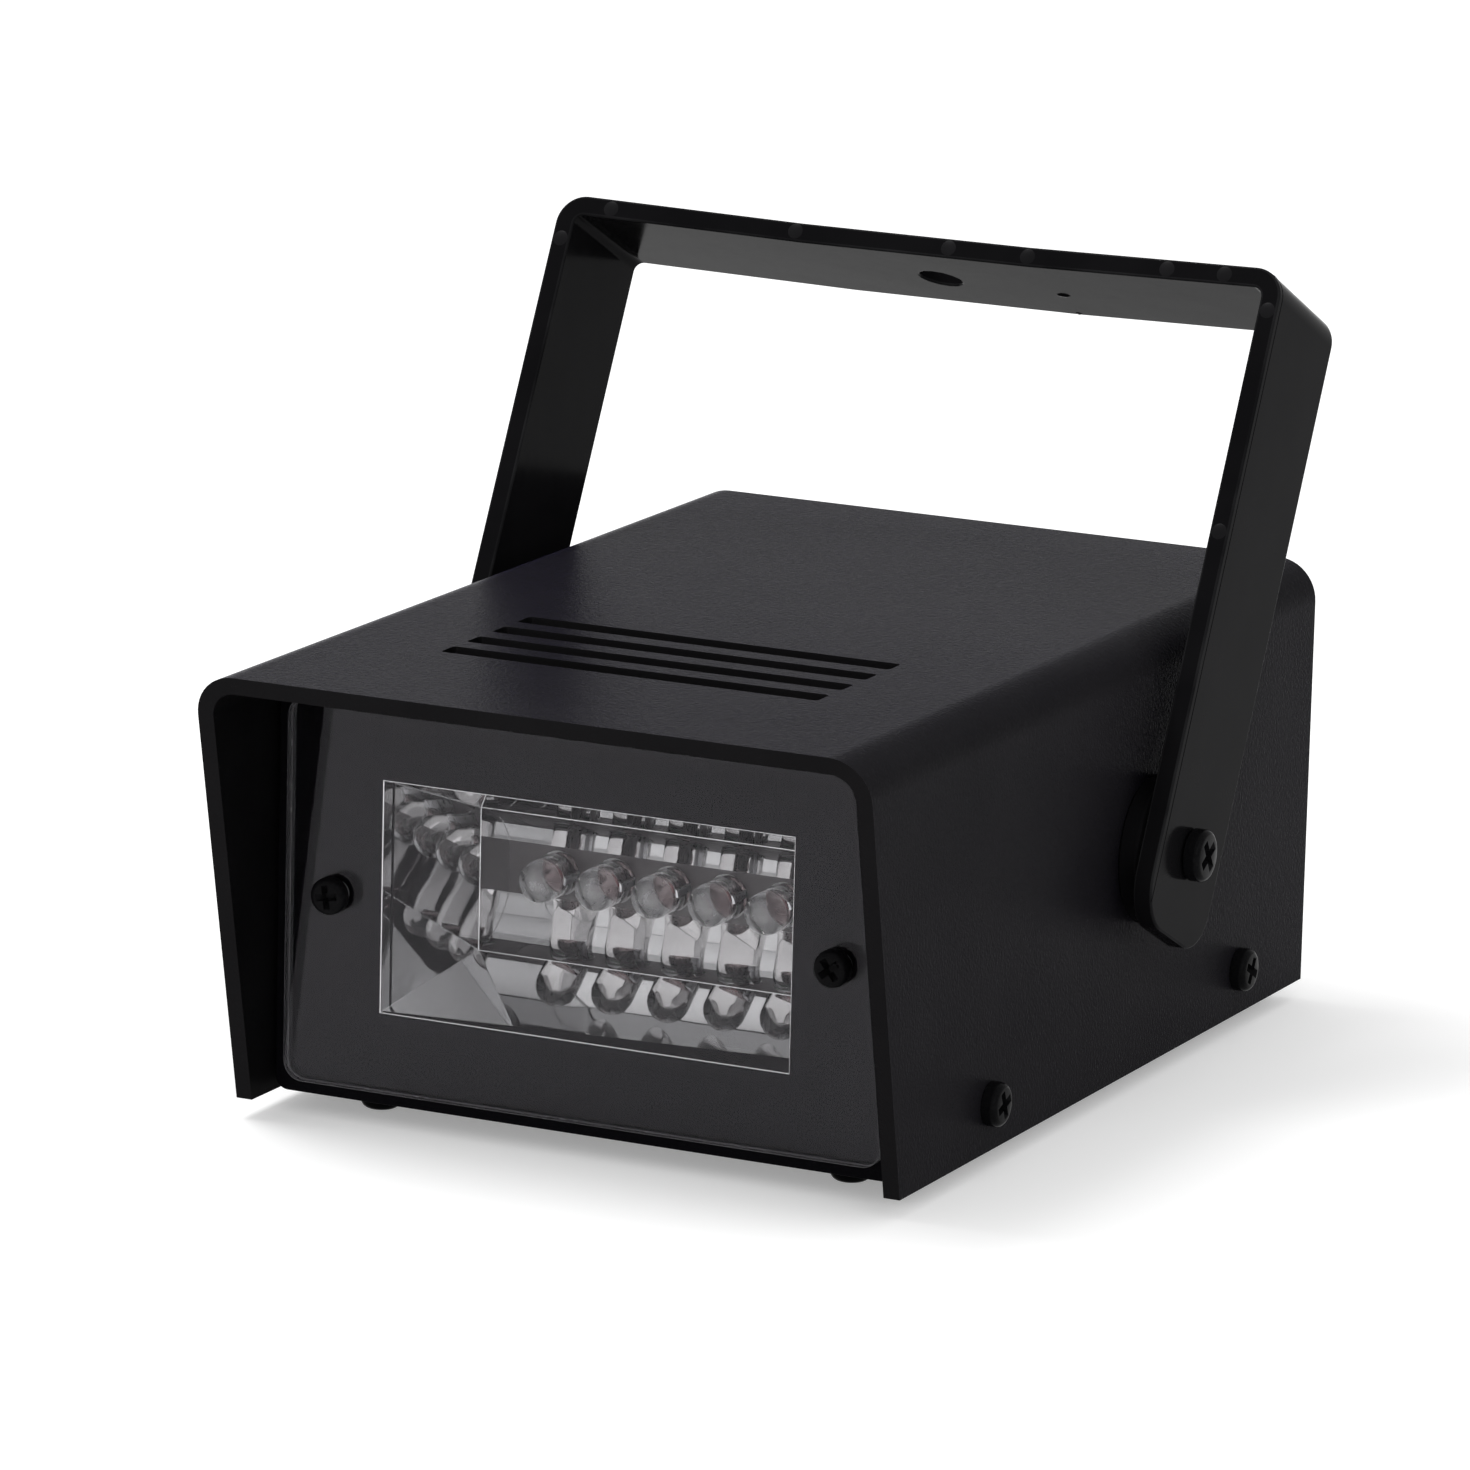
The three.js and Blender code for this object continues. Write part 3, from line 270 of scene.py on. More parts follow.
def clear_pane():
    """Clear sheet with dust specks and a few fine scratches."""
    s = Shader("clear_pane")
    dust = s.spread(s.noise(0.9, detail=6, roughness=0.8), 0, 1, 0.70, 0.76)
    hair = s.noise(1.2, detail=3, stretch=(1, 1, 0.08))
    s.set(Base_Color=s.mix(dust, (0.98, 0.978, 0.985), (0.6, 0.6, 0.6)),
          Roughness=s.math("ADD", s.spread(hair, 0.0, 0.02), s.math("MULTIPLY", dust, 0.25)),
          Transmission_Weight=1.0, IOR=1.245, Specular_Tint=(0.96, 0.93, 1.0))
    s.bump(hair, 0.001, 0.1)
    return s.material


def lamp_resin():
    """Water-clear lamp resin."""
    s = Shader("lamp_resin")
    flow = s.noise(0.5, detail=2)
    s.set(Base_Color=s.tones(flow, (0.98, 0.965, 0.962), (0.955, 0.935, 0.935)),
          Roughness=s.spread(flow, 0.0, 0.03), Transmission_Weight=1.0, IOR=1.5)
    s.bump(flow, 0.01, 0.1)
    return s.material


def chrome():
    """Vacuum-metallised plastic: a slightly wavy mirror with dust."""
    s = Shader("chrome")
    wave = s.noise(0.18, detail=2)
    dust = s.spread(s.noise(2.5, detail=5, roughness=0.8), 0, 1, 0.66, 0.74)
    haze = s.noise(0.3, detail=5)
    s.set(Base_Color=s.mix(dust, (0.60, 0.60, 0.605), (0.48, 0.48, 0.485)),
          Metallic=1.0,
          Roughness=s.math("ADD", s.spread(haze, 0.012, 0.04), s.math("MULTIPLY", dust, 0.12)))
    s.bump(wave, 0.05, 0.15)
    return s.material


def black_steel():
    """Black-oxide screw steel."""
    s = Shader("black_steel")
    grain = s.noise(3, detail=4)
    edge = s.wear(s.noise(1.2), 0.1, 0.9)
    plain = s.tones(grain, (0.0035, 0.0035, 0.004), (0.006, 0.006, 0.0065))
    s.set(Base_Color=s.mix(edge, plain, (0.018, 0.018, 0.019)),
          Roughness=s.spread(grain, 0.08, 0.16), IOR=1.09)
    s.bump(grain, 0.008, 0.4)
    return s.material


def zinc():
    """Bright zinc plating."""
    s = Shader("zinc")
    grain = s.noise(2, detail=5)
    s.set(Base_Color=s.tones(grain, (0.52, 0.53, 0.55), (0.68, 0.69, 0.70)), Metallic=1.0,
          Roughness=s.spread(grain, 0.22, 0.40))
    s.bump(grain, 0.01, 0.3)
    return s.material


def lead_metal():
    """Tarnished silver plating of the frames cast into the lamps."""
    s = Shader("lead_metal")
    tarnish = s.noise(1.6, detail=4)
    s.set(Base_Color=s.tones(tarnish, (0.13, 0.103, 0.107), (0.26, 0.222, 0.226)), Metallic=1.0,
          Roughness=s.spread(tarnish, 0.20, 0.34))
    s.bump(tarnish, 0.01, 0.3)
    return s.material


# Plain finishes: dark tone, light tone, roughness from and to, and where they aren't the usual ones the
# grains to a millimetre, the relief and the specular level
PLAIN = {
    # a darker black with almost no reflection for the cover's inner faces: painted shade
    "inside_painted_shade_black": ((0.0030, 0.0029, 0.0032), (0.0045, 0.0044, 0.0048), 0.35, 0.45, 1.2, 0.01, 0.02),
    "black_resin": ((0.014, 0.014, 0.015), (0.024, 0.024, 0.026), 0.35, 0.5),
    "capacitor_sleeve": ((0.012, 0.018, 0.05), (0.02, 0.03, 0.075), 0.2, 0.32, 1.2, 0.01),
    "red_wire": ((0.38, 0.012, 0.010), (0.50, 0.02, 0.016), 0.35, 0.5),
    "black_wire": ((0.012, 0.012, 0.013), (0.02, 0.02, 0.021), 0.35, 0.5),
    "knob_plastic": ((0.012, 0.012, 0.013), (0.02, 0.02, 0.022), 0.35, 0.5, 2.5, 0.03),
    "pointer_paint": ((0.70, 0.70, 0.69), (0.80, 0.80, 0.79), 0.4, 0.5),
    "lamp_chip": ((0.16, 0.05, 0.06), (0.24, 0.09, 0.10), 0.3, 0.4),
    # a light grey for the pane's rounded edges: a painted highlight line
    "pane_edge_painted_highlight": ((0.042, 0.041, 0.045), (0.075, 0.073, 0.078), 0.15, 0.3, 1.2, 0.005, 0.4),
    "thin_metallising": ((0.050, 0.043, 0.046), (0.070, 0.062, 0.065), 0.28, 0.40, 1.6, 0.006, 0.6),
    "witness_mark": ((0.0055, 0.0053, 0.006), (0.009, 0.0086, 0.0097), 0.3, 0.4, 2.2, 0.01, 0.06),
}
CLOUD = 12  # grains across one cloud of tone


def moulded(name, dark, light, rough_low, rough_high, grain_per_mm=2.2, relief=0.02, specular=0.4):
    """A plain moulded or dipped finish with its own two tones."""
    s = Shader(name)
    grain = s.noise(grain_per_mm, detail=4)
    cloud = s.noise(grain_per_mm / CLOUD, detail=3)
    s.set(Base_Color=s.tones(cloud, dark, light),
          Roughness=s.spread(grain, rough_low, rough_high), Specular_IOR_Level=specular)
    s.bump(grain, relief, 0.35)
    return s.material


def circuit_board():
    """Green solder resist over copper tracks."""
    s = Shader("circuit_board")
    track = s.spread(s.cell_edges(0.35), 0, 1, 0.06, 0.09)
    grain = s.noise(3, detail=3)
    s.set(Base_Color=s.mix(track, (0.022, 0.125, 0.040), (0.008, 0.060, 0.022)),
          Roughness=s.spread(grain, 0.28, 0.42))
    s.bump(track, 0.03, 0.4, s.bump(grain, 0.01, 0.2))
    return s.material


# Mesh helpers

WELD, FINE_WELD = 2e-6, 1e-7  # metres, for the CAD meshes and for those made here
FLAT_ANGLE = 0.4  # degrees within which neighbouring triangles are one flat face
NORMAL_WEIGHT = 80


def finish_mesh(name, bm, body, material, smooth_angle=40, weighted=True):
    """Makes an object from a bmesh, smooth apart from its sharp edges."""
    bmesh.ops.recalc_face_normals(bm, faces=bm.faces)
    mesh = bpy.data.meshes.new(name)
    bm.to_mesh(mesh)
    bm.free()
    mesh.polygons.foreach_set("use_smooth", [True] * len(mesh.polygons))
    mesh.set_sharp_from_angle(angle=math.radians(smooth_angle))
    piece = bpy.data.objects.new(name, mesh)
    bpy.context.scene.collection.objects.link(piece)
    piece.data.materials.append(material)
    if weighted:
        modifier = piece.modifiers.new("normals", "WEIGHTED_NORMAL")
        modifier.keep_sharp = True
        modifier.weight = NORMAL_WEIGHT
    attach(piece, body)
    return piece


def soften(bm, width, segments=2, angle=32, keep=None):
    """Rounds, by a width in metres, every edge sharper than the angle, and marks the new faces for wear; on
    the pane these faces carry a painted highlight.

    Edges for which keep() is true stay as they are.
    """
    wear_and_highlight_layer = bm.faces.layers.float.get(WEAR_AND_HIGHLIGHT_EDGES) or bm.faces.layers.float.new(WEAR_AND_HIGHLIGHT_EDGES)
    limit = math.radians(angle)
    sharp = [e for e in bm.edges if len(e.link_faces) == 2 and e.calc_face_angle(0) > limit
             and not (keep and keep(e))]
    made = bmesh.ops.bevel(bm, geom=sharp, offset=width, offset_type="OFFSET", segments=segments,
                           profile=0.5, affect="EDGES", clamp_overlap=True)
    for face in made["faces"]:
        face[wear_and_highlight_layer] = 1.0


def from_node(node):
    """A bmesh of a CAD node with its flat faces whole again."""
    bm = bmesh.new()
    bm.from_mesh(nodes[node].data)
    bmesh.ops.remove_doubles(bm, verts=bm.verts, dist=WELD)
    bmesh.ops.dissolve_limit(bm, angle_limit=math.radians(FLAT_ANGLE), verts=bm.verts, edges=bm.edges)
    return bm


def dress(node, body, material, width, segments=2, shape=None, keep=None):
    """Replaces a CAD node by the same shape with softened edges, after shape() has moved its vertices."""
    bm = from_node(node)
    if shape:
        shape(bm)
    soften(bm, width * MM, segments, keep=keep)
    piece = finish_mesh(node + "_dressed", bm, body, material)
    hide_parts(node)
    return piece


def bridge(bm, low, high):
    """Quads from one closed ring of vertices to the next."""
    for i in range(len(low)):
        k = (i + 1) % len(low)
        bm.faces.new((low[i], low[k], high[k], high[i]))


def circle(x, y, radius, steps):
    """Points evenly round a centre."""
    angles = [TURN * i / steps for i in range(steps)]
    return [(x + radius * math.cos(angle), y + radius * math.sin(angle)) for angle in angles]


def round_ring(bm, radius, height, steps):
    """Vertices evenly round +Z."""
    return [bm.verts.new((x * MM, y * MM, height * MM)) for x, y in circle(0, 0, radius, steps)]


def lathe(profile, segments):
    """A closed bmesh turned about +Z from (radius, height) points that start and end on the axis."""
    bm = bmesh.new()
    rings = []
    for radius, height in profile:
        if radius == 0:
            rings.append([bm.verts.new((0, 0, height * MM))])
        else:
            rings.append(round_ring(bm, radius, height, segments))
    for low, high in zip(rings, rings[1:]):
        if len(low) > 1 and len(high) > 1:
            bridge(bm, low, high)
            continue
        for i in range(segments):
            k = (i + 1) % segments
            if len(high) > 1:
                bm.faces.new((low[0], high[k], high[i]))
            elif len(low) > 1:
                bm.faces.new((low[i], low[k], high[0]))
    return bm


def ring_lathe(profile, segments):
    """A closed bmesh turned about +Z from a loop of (radius, height) points that stays off the axis."""
    bm = bmesh.new()
    rings = [round_ring(bm, radius, height, segments) for radius, height in profile]
    for low, high in zip(rings, rings[1:] + rings[:1]):
        bridge(bm, low, high)
    return bm


def arc(centre, radius, start, end, steps):
    """Points of an arc in (radius, height), angles in degrees."""
    points = []
    for i in range(steps + 1):
        angle = math.radians(start + (end - start) * i / steps)
        points.append((centre[0] + radius * math.cos(angle), centre[1] + radius * math.sin(angle)))
    return points


def solid_between(bm, base, top):
    """Closes two rings of vertices into a solid."""
    bm.faces.new(base[::-1])
    bm.faces.new(top)
    bridge(bm, base, top)


def prism(outline, low, high):
    """A bmesh with the outline between two heights along +Z."""
    bm = bmesh.new()
    base = [bm.verts.new((x * MM, y * MM, low * MM)) for x, y in outline]
    top = [bm.verts.new((x * MM, y * MM, high * MM)) for x, y in outline]
    solid_between(bm, base, top)
    return bm


def rod(bm, start, end, radius, sides=8):
    """Adds a thin closed rod between two points in metres."""
    reach = end - start
    place = Matrix.Translation(start) @ turned_to(reach.normalized())
    rings = [[bm.verts.new(place @ Vector((x * MM, y * MM, height))) for x, y in circle(0, 0, radius, sides)]
             for height in (0, reach.length)]
    solid_between(bm, *rings)


def rounded_outline(half_width, half_height, radius, steps=10):
    """A rectangle with round corners."""
    points = []
    for sx, sy, start in ((1, 1, 0), (-1, 1, 90), (-1, -1, 180), (1, -1, 270)):
        centre = (sx * (half_width - radius), sy * (half_height - radius))
        points += arc(centre, radius, start, start + 90, steps)
    return points


def loose(bm, name):
    """A plain object from a bmesh, which rides on nothing."""
    bmesh.ops.recalc_face_normals(bm, faces=bm.faces)
    mesh = bpy.data.meshes.new(name)
    bm.to_mesh(mesh)
    bm.free()
    made = bpy.data.objects.new(name, mesh)
    bpy.context.scene.collection.objects.link(made)
    return made


def carve(bm, tools):
    """The bmesh with each tool, also a bmesh, cut out of it."""
    target = loose(bm, "target")
    for tool in tools:
        modifier = target.modifiers.new("carve", "BOOLEAN")
        modifier.operation = "DIFFERENCE"
        modifier.solver = "EXACT"
        modifier.object = loose(tool, "tool")
    evaluated = target.evaluated_get(bpy.context.evaluated_depsgraph_get())
    made = bmesh.new()
    made.from_mesh(evaluated.to_mesh())
    bmesh.ops.remove_doubles(made, verts=made.verts, dist=FINE_WELD)
    for modifier in list(target.modifiers):
        bpy.data.objects.remove(modifier.object)
    bpy.data.objects.remove(target)
    return made


def join(bm, added):
    """Adds one bmesh to another and frees it."""
    mesh = bpy.data.meshes.new("part")
    added.to_mesh(mesh)
    added.free()
    bm.from_mesh(mesh)
    bpy.data.meshes.remove(mesh)


def turned_to(direction, twist=0):
    """A rotation that takes +Z to the direction, after a twist about +Z in degrees."""
    facing = direction.to_track_quat("Z", "Y").to_matrix().to_4x4()
    return facing @ Matrix.Rotation(math.radians(twist), 4, "Z")


def placed(bm, place, direction, twist=0):
    """The bmesh with its origin moved to the place and its +Z turned to the direction."""
    move = Matrix.Translation(place) @ turned_to(direction, twist)
    bmesh.ops.transform(bm, matrix=move, verts=bm.verts)
    return bm


# Screws

THREAD_PITCH, THREAD_DEPTH = 0.4, 0.16
THREAD_FOOT, THREAD_STOP = 0.5, 0.9  # from the shank's end, and from the head
NECK = 0.2
SHANK_CHAMFER, HEAD_BREAK = 0.3, 0.12
CROWN_END = 80  # degrees of the crown's arc, from the rim up
DISH_RADIUS, DISH_RISE = 0.55, 0.35  # a point of the flattened top, as shares
RECESS_REACH, RECESS_HALF = 0.64, 0.19  # as shares of the head's radius
RECESS_DEPTH = 1.1
RECESS_MOUTH, RECESS_FOOT = (1.06, 1.0), (0.36, 0.75)  # shares of reach and width that are left there

# Head radius and height, shank radius and length, crown radius, and the way the head faces: those on the
# left side face the other way
SCREWS = {
    "pane_screw": ((2.2, 1.7, 1.25, 6.8, 0.75), (0, -1, 0)),
    "floor_screw": ((2.4, 2.7, 1.25, 9.8, 1.1), (0, 0, -1)),
    "side_screw": ((2.6, 1.9, 1.3, 6, 0.8), (1, 0, 0)),
    "pivot_screw": ((3.1, 2.0, 1.5, 10.9, 0.75), (1, 0, 0)),
    "lamp_board_screw": ((2.0, 1.4, 1.0, 6, 0.6), (0, 1, 0)),
}

# How far each recess is turned, in degrees; the others get a turn from their name's length
TWISTS = {
    "pane_screw_left": 8, "pane_screw_right": 38, "side_screw_front_right": 20,
    "side_screw_rear_right": 62, "pivot_screw_right": 30, "side_screw_front_left": 75,
    "side_screw_rear_left": 12, "pivot_screw_left": 55,
}


def cross(reach, half):
    """The outline of a cross recess."""
    return [(reach, -half), (reach, half), (half, half), (half, reach), (-half, reach), (-half, half),
            (-reach, half), (-reach, -half), (-half, -half), (-half, -reach), (half, -reach), (half, -half)]


def screw_shape(head_radius, head_height, shank_radius, shank_length, crown):
    """A pan head with a tapered cross recess, on a threaded shank with a turned end."""
    profile = [(0, -shank_length), (shank_radius - SHANK_CHAMFER, -shank_length),
               (shank_radius, -shank_length + SHANK_CHAMFER)]
    thread = -shank_length + THREAD_FOOT
    while thread < -THREAD_STOP:
        profile += [(shank_radius, thread), (shank_radius - THREAD_DEPTH, thread + THREAD_PITCH / 2)]
        thread += THREAD_PITCH
    profile += [(shank_radius, -NECK), (shank_radius, 0), (head_radius - HEAD_BREAK, 0),
                (head_radius, HEAD_BREAK)]
    flat = head_radius - crown
    profile += arc((flat, head_height - crown), crown, 0, CROWN_END, 7)
    dish = head_height - crown + crown * math.sin(math.radians(CROWN_END))
    profile += [(flat * DISH_RADIUS, head_height - (head_height - dish) * DISH_RISE), (0, head_height)]
    bm = lathe(profile, 40)
    cutter = bmesh.new()
    rings = []
    for height, (reach, width) in ((head_height + 0.1, RECESS_MOUTH),
                                   (head_height - RECESS_DEPTH, RECESS_FOOT)):
        outline = cross(head_radius * RECESS_REACH * reach, head_radius * RECESS_HALF * width)
        rings.append([cutter.verts.new((x * MM, y * MM, height * MM)) for x, y in outline])
    mouth, foot = rings
    cutter.faces.new(mouth)
    cutter.faces.new(foot[::-1])
    bridge(cutter, foot, mouth)
    return carve(bm, [cutter])


def make_screws(finishes):
    """Every screw, as its CAD node has it, with its recess turned its own way."""
    for kind, (sizes, way) in SCREWS.items():
        head_height = sizes[1]
        for node in sorted(n for n in nodes if n.startswith(kind)):
            low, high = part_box(node)
            middle = (low + high) / 2
            facing = Vector(way)
            if way[0] and middle.x < 0:
                facing = -facing
            end = Vector([(high if f > 0 else low)[i] if f else middle[i] for i, f in enumerate(facing)])
            seat = end - facing * head_height * MM
            bm = placed(screw_shape(*sizes), seat, facing, TWISTS.get(node, len(node) * 17 % 90))
            piece = finish_mesh(node + "_made", bm, "housing", finishes[slots[node]], smooth_angle=38)
            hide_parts(node)


# Reflector

# Corners of the mouth, across and up from the middle of the lamp row
MOUTH = [(25.85, 13.85), (-26.1, 13.85), (-26.1, -13.45), (25.85, -13.45)]
THROAT = (20.9, 8.45)  # half width and half height
CORNERS = [(1, 1), (-1, 1), (-1, -1), (1, -1)]
BAND_HALF = 3.1
PANEL_Y, THROAT_Y, BAND_Y = -47.1, -32.8, -25.5
MOUTH_SETBACK = 0.15
TROUGH_BOW, TROUGH_STEPS = 1.1, 44
REFLECTOR_WALL = 0.22
DARK_STRIP_LEFT, DARK_STRIP_RIGHT = 0.03, 0.2  # shares of the lower wall, from the mouth in, that take the black finish instead of the mirror, a dark strip widening to the right
CREASE_MOUTH, CREASE_CORNER, CREASE_THROAT = 0.13, 0.09, 0.07
CREASE_STEPS = 4  # steps of the trough to one rod of its crease
FLANGE_HALF, FLANGE_CORNER, FLANGE_THICK, FLANGE_EDGE = (35.5, 16.5), 2, 1.4, 0.2
FLANGE_OPENING, FLANGE_OPENING_CORNER = (25.5, 13.6), 0.6
FLANGE_Y = -45.0
LIGHT_Z = 24.3
LAMPS_X = [-14.4, -7.2, 0, 7.2, 14.4]
LAMP_HOLE = 2.65


def trough_curve(steps):
    """Depth and half height along the trough, from the throat to the flat band: a chord bowed outwards."""
    chord = Vector((BAND_Y - THROAT_Y, BAND_HALF - THROAT[1]))
    away = Vector((-chord.y, chord.x)).normalized()
    points = []
    for i in range(steps + 1):
        t = i / steps
        point = Vector((THROAT_Y, THROAT[1])) + chord * t + away * TROUGH_BOW * 4 * t * (1 - t)
        points.append((point.x, point.y))
    return points


def at_light(x, y, z):
    """A point whose height is given from the middle of the lamp row."""
    return at(x, y, LIGHT_Z + z)


def along(start, end, share):
    """The point a share of the way from one to the other."""
    return tuple(p + (q - p) * share for p, q in zip(start, end))


def reflector_corners():
    """The four corners of the reflector's mouth and of its throat."""
    mouth = [(x, PANEL_Y + MOUTH_SETBACK, z) for x, z in MOUTH]
    throat = [(sx * THROAT[0], THROAT_Y, sz * THROAT[1]) for sx, sz in CORNERS]
    return mouth, throat


def wall(bm, *corners):
    """Adds a face with vertices of its own, placed from the middle of the lamp row."""
    return bm.faces.new([bm.verts.new(at_light(*corner)) for corner in corners])


def add_slanting_walls(bm, front, back):
    """Four walls from the mouth to the throat, with a black strip along the front of the lower one."""
    left_split = along(front[2], back[2], DARK_STRIP_LEFT)
    right_split = along(front[3], back[3], DARK_STRIP_RIGHT)
    wall(bm, front[0], front[1], back[1], back[0])
    wall(bm, front[1], front[2], left_split, back[2], back[1])
    wall(bm, front[3], front[0], back[0], back[3], right_split)
    wall(bm, left_split, right_split, back[3], back[2])
    # the front strip of the lower wall takes the black finish, not the mirror
    strip = wall(bm, front[2], front[3], right_split, left_split)
    strip.material_index = 1


def add_trough(bm, curve):
    """The curved walls behind the throat, and the flat ones at their ends."""
    wide = THROAT[0]
    for side in SIDES:
        for (y0, z0), (y1, z1) in zip(curve, curve[1:]):
            z0, z1 = side * z0, side * z1
            wall(bm, (-wide, y0, z0), (wide, y0, z0), (wide, y1, z1), (-wide, y1, z1))
        upper = [(side * wide, y, z) for y, z in curve]
        lower = [(side * wide, y, -z) for y, z in reversed(curve)]
        wall(bm, *upper, *lower)


def add_lamp_band(bm):
    """The flat band at the bottom of the trough, with a round hole for each lamp."""
    wide = THROAT[0]
    loops = [[(-wide, -BAND_HALF), (wide, -BAND_HALF), (wide, BAND_HALF), (-wide, BAND_HALF)]]
    loops += [circle(x, 0, LAMP_HOLE, 32) for x in LAMPS_X]
    edges = []
    for loop in loops:
        ring = [bm.verts.new(at_light(x, BAND_Y, z)) for x, z in loop]
        edges += [bm.edges.new((a, b)) for a, b in zip(ring, ring[1:] + ring[:1])]
    filled = bmesh.ops.triangle_fill(bm, edges=edges, use_beauty=True, use_dissolve=False)
    for made in filled["geom"]:
        if isinstance(made, bmesh.types.BMFace):
            made.material_index = 2


def face_inwards(mesh):
    """Turns the shell's faces to the reflector's inside, if most look the other way."""
    middle = at_light(0, THROAT_Y, 0)
    inwards = sum(1 if (middle - face.center).dot(face.normal) > 0 else -1 for face in mesh.polygons)
    if inwards < 0:
        mesh.flip_normals()


def make_reflector(mirror, black_finish, satin):
    """A thin bright shell: four slanting walls, then a curved trough with a flat band that the lamps pass."""
    front, back = reflector_corners()
    curve = trough_curve(TROUGH_STEPS)
    bm = bmesh.new()
    add_slanting_walls(bm, front, back)
    add_trough(bm, curve)
    add_lamp_band(bm)
    bmesh.ops.remove_doubles(bm, verts=bm.verts, dist=FINE_WELD)
    piece = finish_mesh("reflector_shell", bm, "housing", mirror, smooth_angle=3.5, weighted=False)
    piece.data.materials.append(black_finish)
    piece.data.materials.append(satin)
    sharpen_rims(piece.data)
    face_inwards(piece.data)
    thickness = piece.modifiers.new("wall", "SOLIDIFY")
    thickness.thickness = REFLECTOR_WALL * MM
    thickness.offset = -1
    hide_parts("reflector")
    make_creases(mirror, front, back, curve)
    make_flange(black_finish)


def sharpen_rims(mesh):
    """Marks the free edges sharp, so that the thickness added there doesn't bend the mirror's normals."""
    uses = {}
    for polygon in mesh.polygons:
        for key in polygon.edge_keys:
            uses[key] = uses.get(key, 0) + 1
    for edge in mesh.edges:
        if uses.get(edge.key, 0) < 2:
            edge.use_edge_sharp = True


def make_creases(mirror, front, back, curve):
    """The bright rounded creases between the reflector's walls."""
    creases = bmesh.new()
    for k in range(4):
        n = (k + 1) % 4
        rod(creases, at_light(*front[k]), at_light(*front[n]), CREASE_MOUTH)
        rod(creases, at_light(*front[k]), at_light(*back[k]), CREASE_CORNER)
        rod(creases, at_light(*back[k]), at_light(*back[n]), CREASE_THROAT)
    coarse = curve[::CREASE_STEPS]
    for sx in SIDES:
        for sz in SIDES:
            path = [at_light(sx * THROAT[0], y, sz * z) for y, z in coarse]
            for start, end in zip(path, path[1:]):
                rod(creases, start, end, CREASE_THROAT)
    fillets = finish_mesh("reflector_fillets", creases, "housing", mirror, smooth_angle=70, weighted=False)


def make_flange(black_finish):
    """The black flange behind the front panel."""
    half = FLANGE_THICK / 2
    flange = prism(rounded_outline(*FLANGE_HALF, FLANGE_CORNER), -half, half)
    opening = prism(rounded_outline(*FLANGE_OPENING, FLANGE_OPENING_CORNER), -1, 1)
    flange = carve(flange, [opening])
    soften(flange, FLANGE_EDGE * MM)
    placed(flange, at(0, FLANGE_Y, LIGHT_Z), Vector((0, 1, 0)))
    rim = finish_mesh("reflector_flange", flange, "housing", black_finish)


# Lamps. Profiles are (radius, height) from the lamp's seat, outlines are seen along its axis.

LAMP_SEAT_Y = -23.5
LAMP_RADIUS, LAMP_HEIGHT = 2.5, 9.2
LAMP = [(0, 0), (2.8, 0), (2.9, 0.1), (2.9, 0.9), (2.8, 1.0), (2.56, 1.05), (LAMP_RADIUS, 1.25),
        *arc((0, LAMP_HEIGHT - LAMP_RADIUS), LAMP_RADIUS, 0, 90, 20)[:-1], (0, LAMP_HEIGHT)]
CUP = [(0, 0.35), (1.0, 0.35), (1.0, 0.8), (0.62, 1.1), (0.55, 2.9), (0.9, 3.5), (1.08, 4.5), (0.98, 4.55),
       (0.6, 4.05), (0, 4.05)]
POST, POST_SPAN = [(1.15, -0.3), (1.7, -0.3), (1.7, 0.3), (1.15, 0.3)], (0.35, 4.3)
POST_HEAD, POST_HEAD_SPAN = [(0.95, -0.35), (1.75, -0.35), (1.55, 0.35), (1.1, 0.35)], (4.1, 4.6)
SEAT_DISC = [(0, 0.12), (2.72, 0.12), (2.72, 0.3), (0, 0.3)]
CHIP, CHIP_SPAN = [(-0.25, -0.25), (0.25, -0.25), (0.25, 0.25), (-0.25, 0.25)], (4.05, 4.3)
CHIP_EDGE = 0.03


def make_lamps(resin, lead, plated, die):
    """Clear lamps with a cup, a post and a chip cast inside."""
    for i, x in enumerate(LAMPS_X):
        node = "lamp_%d" % (i + 1)
        turn = 7 * i - 10  # in degrees, so that no two lamps are set alike
        place = (at(x, LAMP_SEAT_Y, LIGHT_Z), Vector((0, -1, 0)), turn)
        bm = placed(lathe(LAMP, 56), *place)
        piece = finish_mesh(node + "_resin", bm, "housing", resin, smooth_angle=50, weighted=False)
        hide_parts(node)
        core = bmesh.new()
        join(core, lathe(CUP, 28))
        for part in (prism(POST, *POST_SPAN), prism(POST_HEAD, *POST_HEAD_SPAN), lathe(SEAT_DISC, 28)):
            for face in part.faces:
                face.material_index = 1
            join(core, part)
        placed(core, *place)
        metal = finish_mesh(node + "_frame", core, "housing", lead, smooth_angle=35, weighted=False)
        metal.data.materials.append(plated)
        chip = prism(CHIP, *CHIP_SPAN)
        soften(chip, CHIP_EDGE * MM)
        finish_mesh(node + "_chip", placed(chip, *place), "housing", die)


# Pane

PANE_HALF, PANE_CORNER, PANE_THICK, PANE_EDGE = (37.9, 22.6), 2.4, 1.54, 0.12
PANE_HOLE, PANE_HOLE_X = 1.45, 31.75
PANE_Y = -47.93


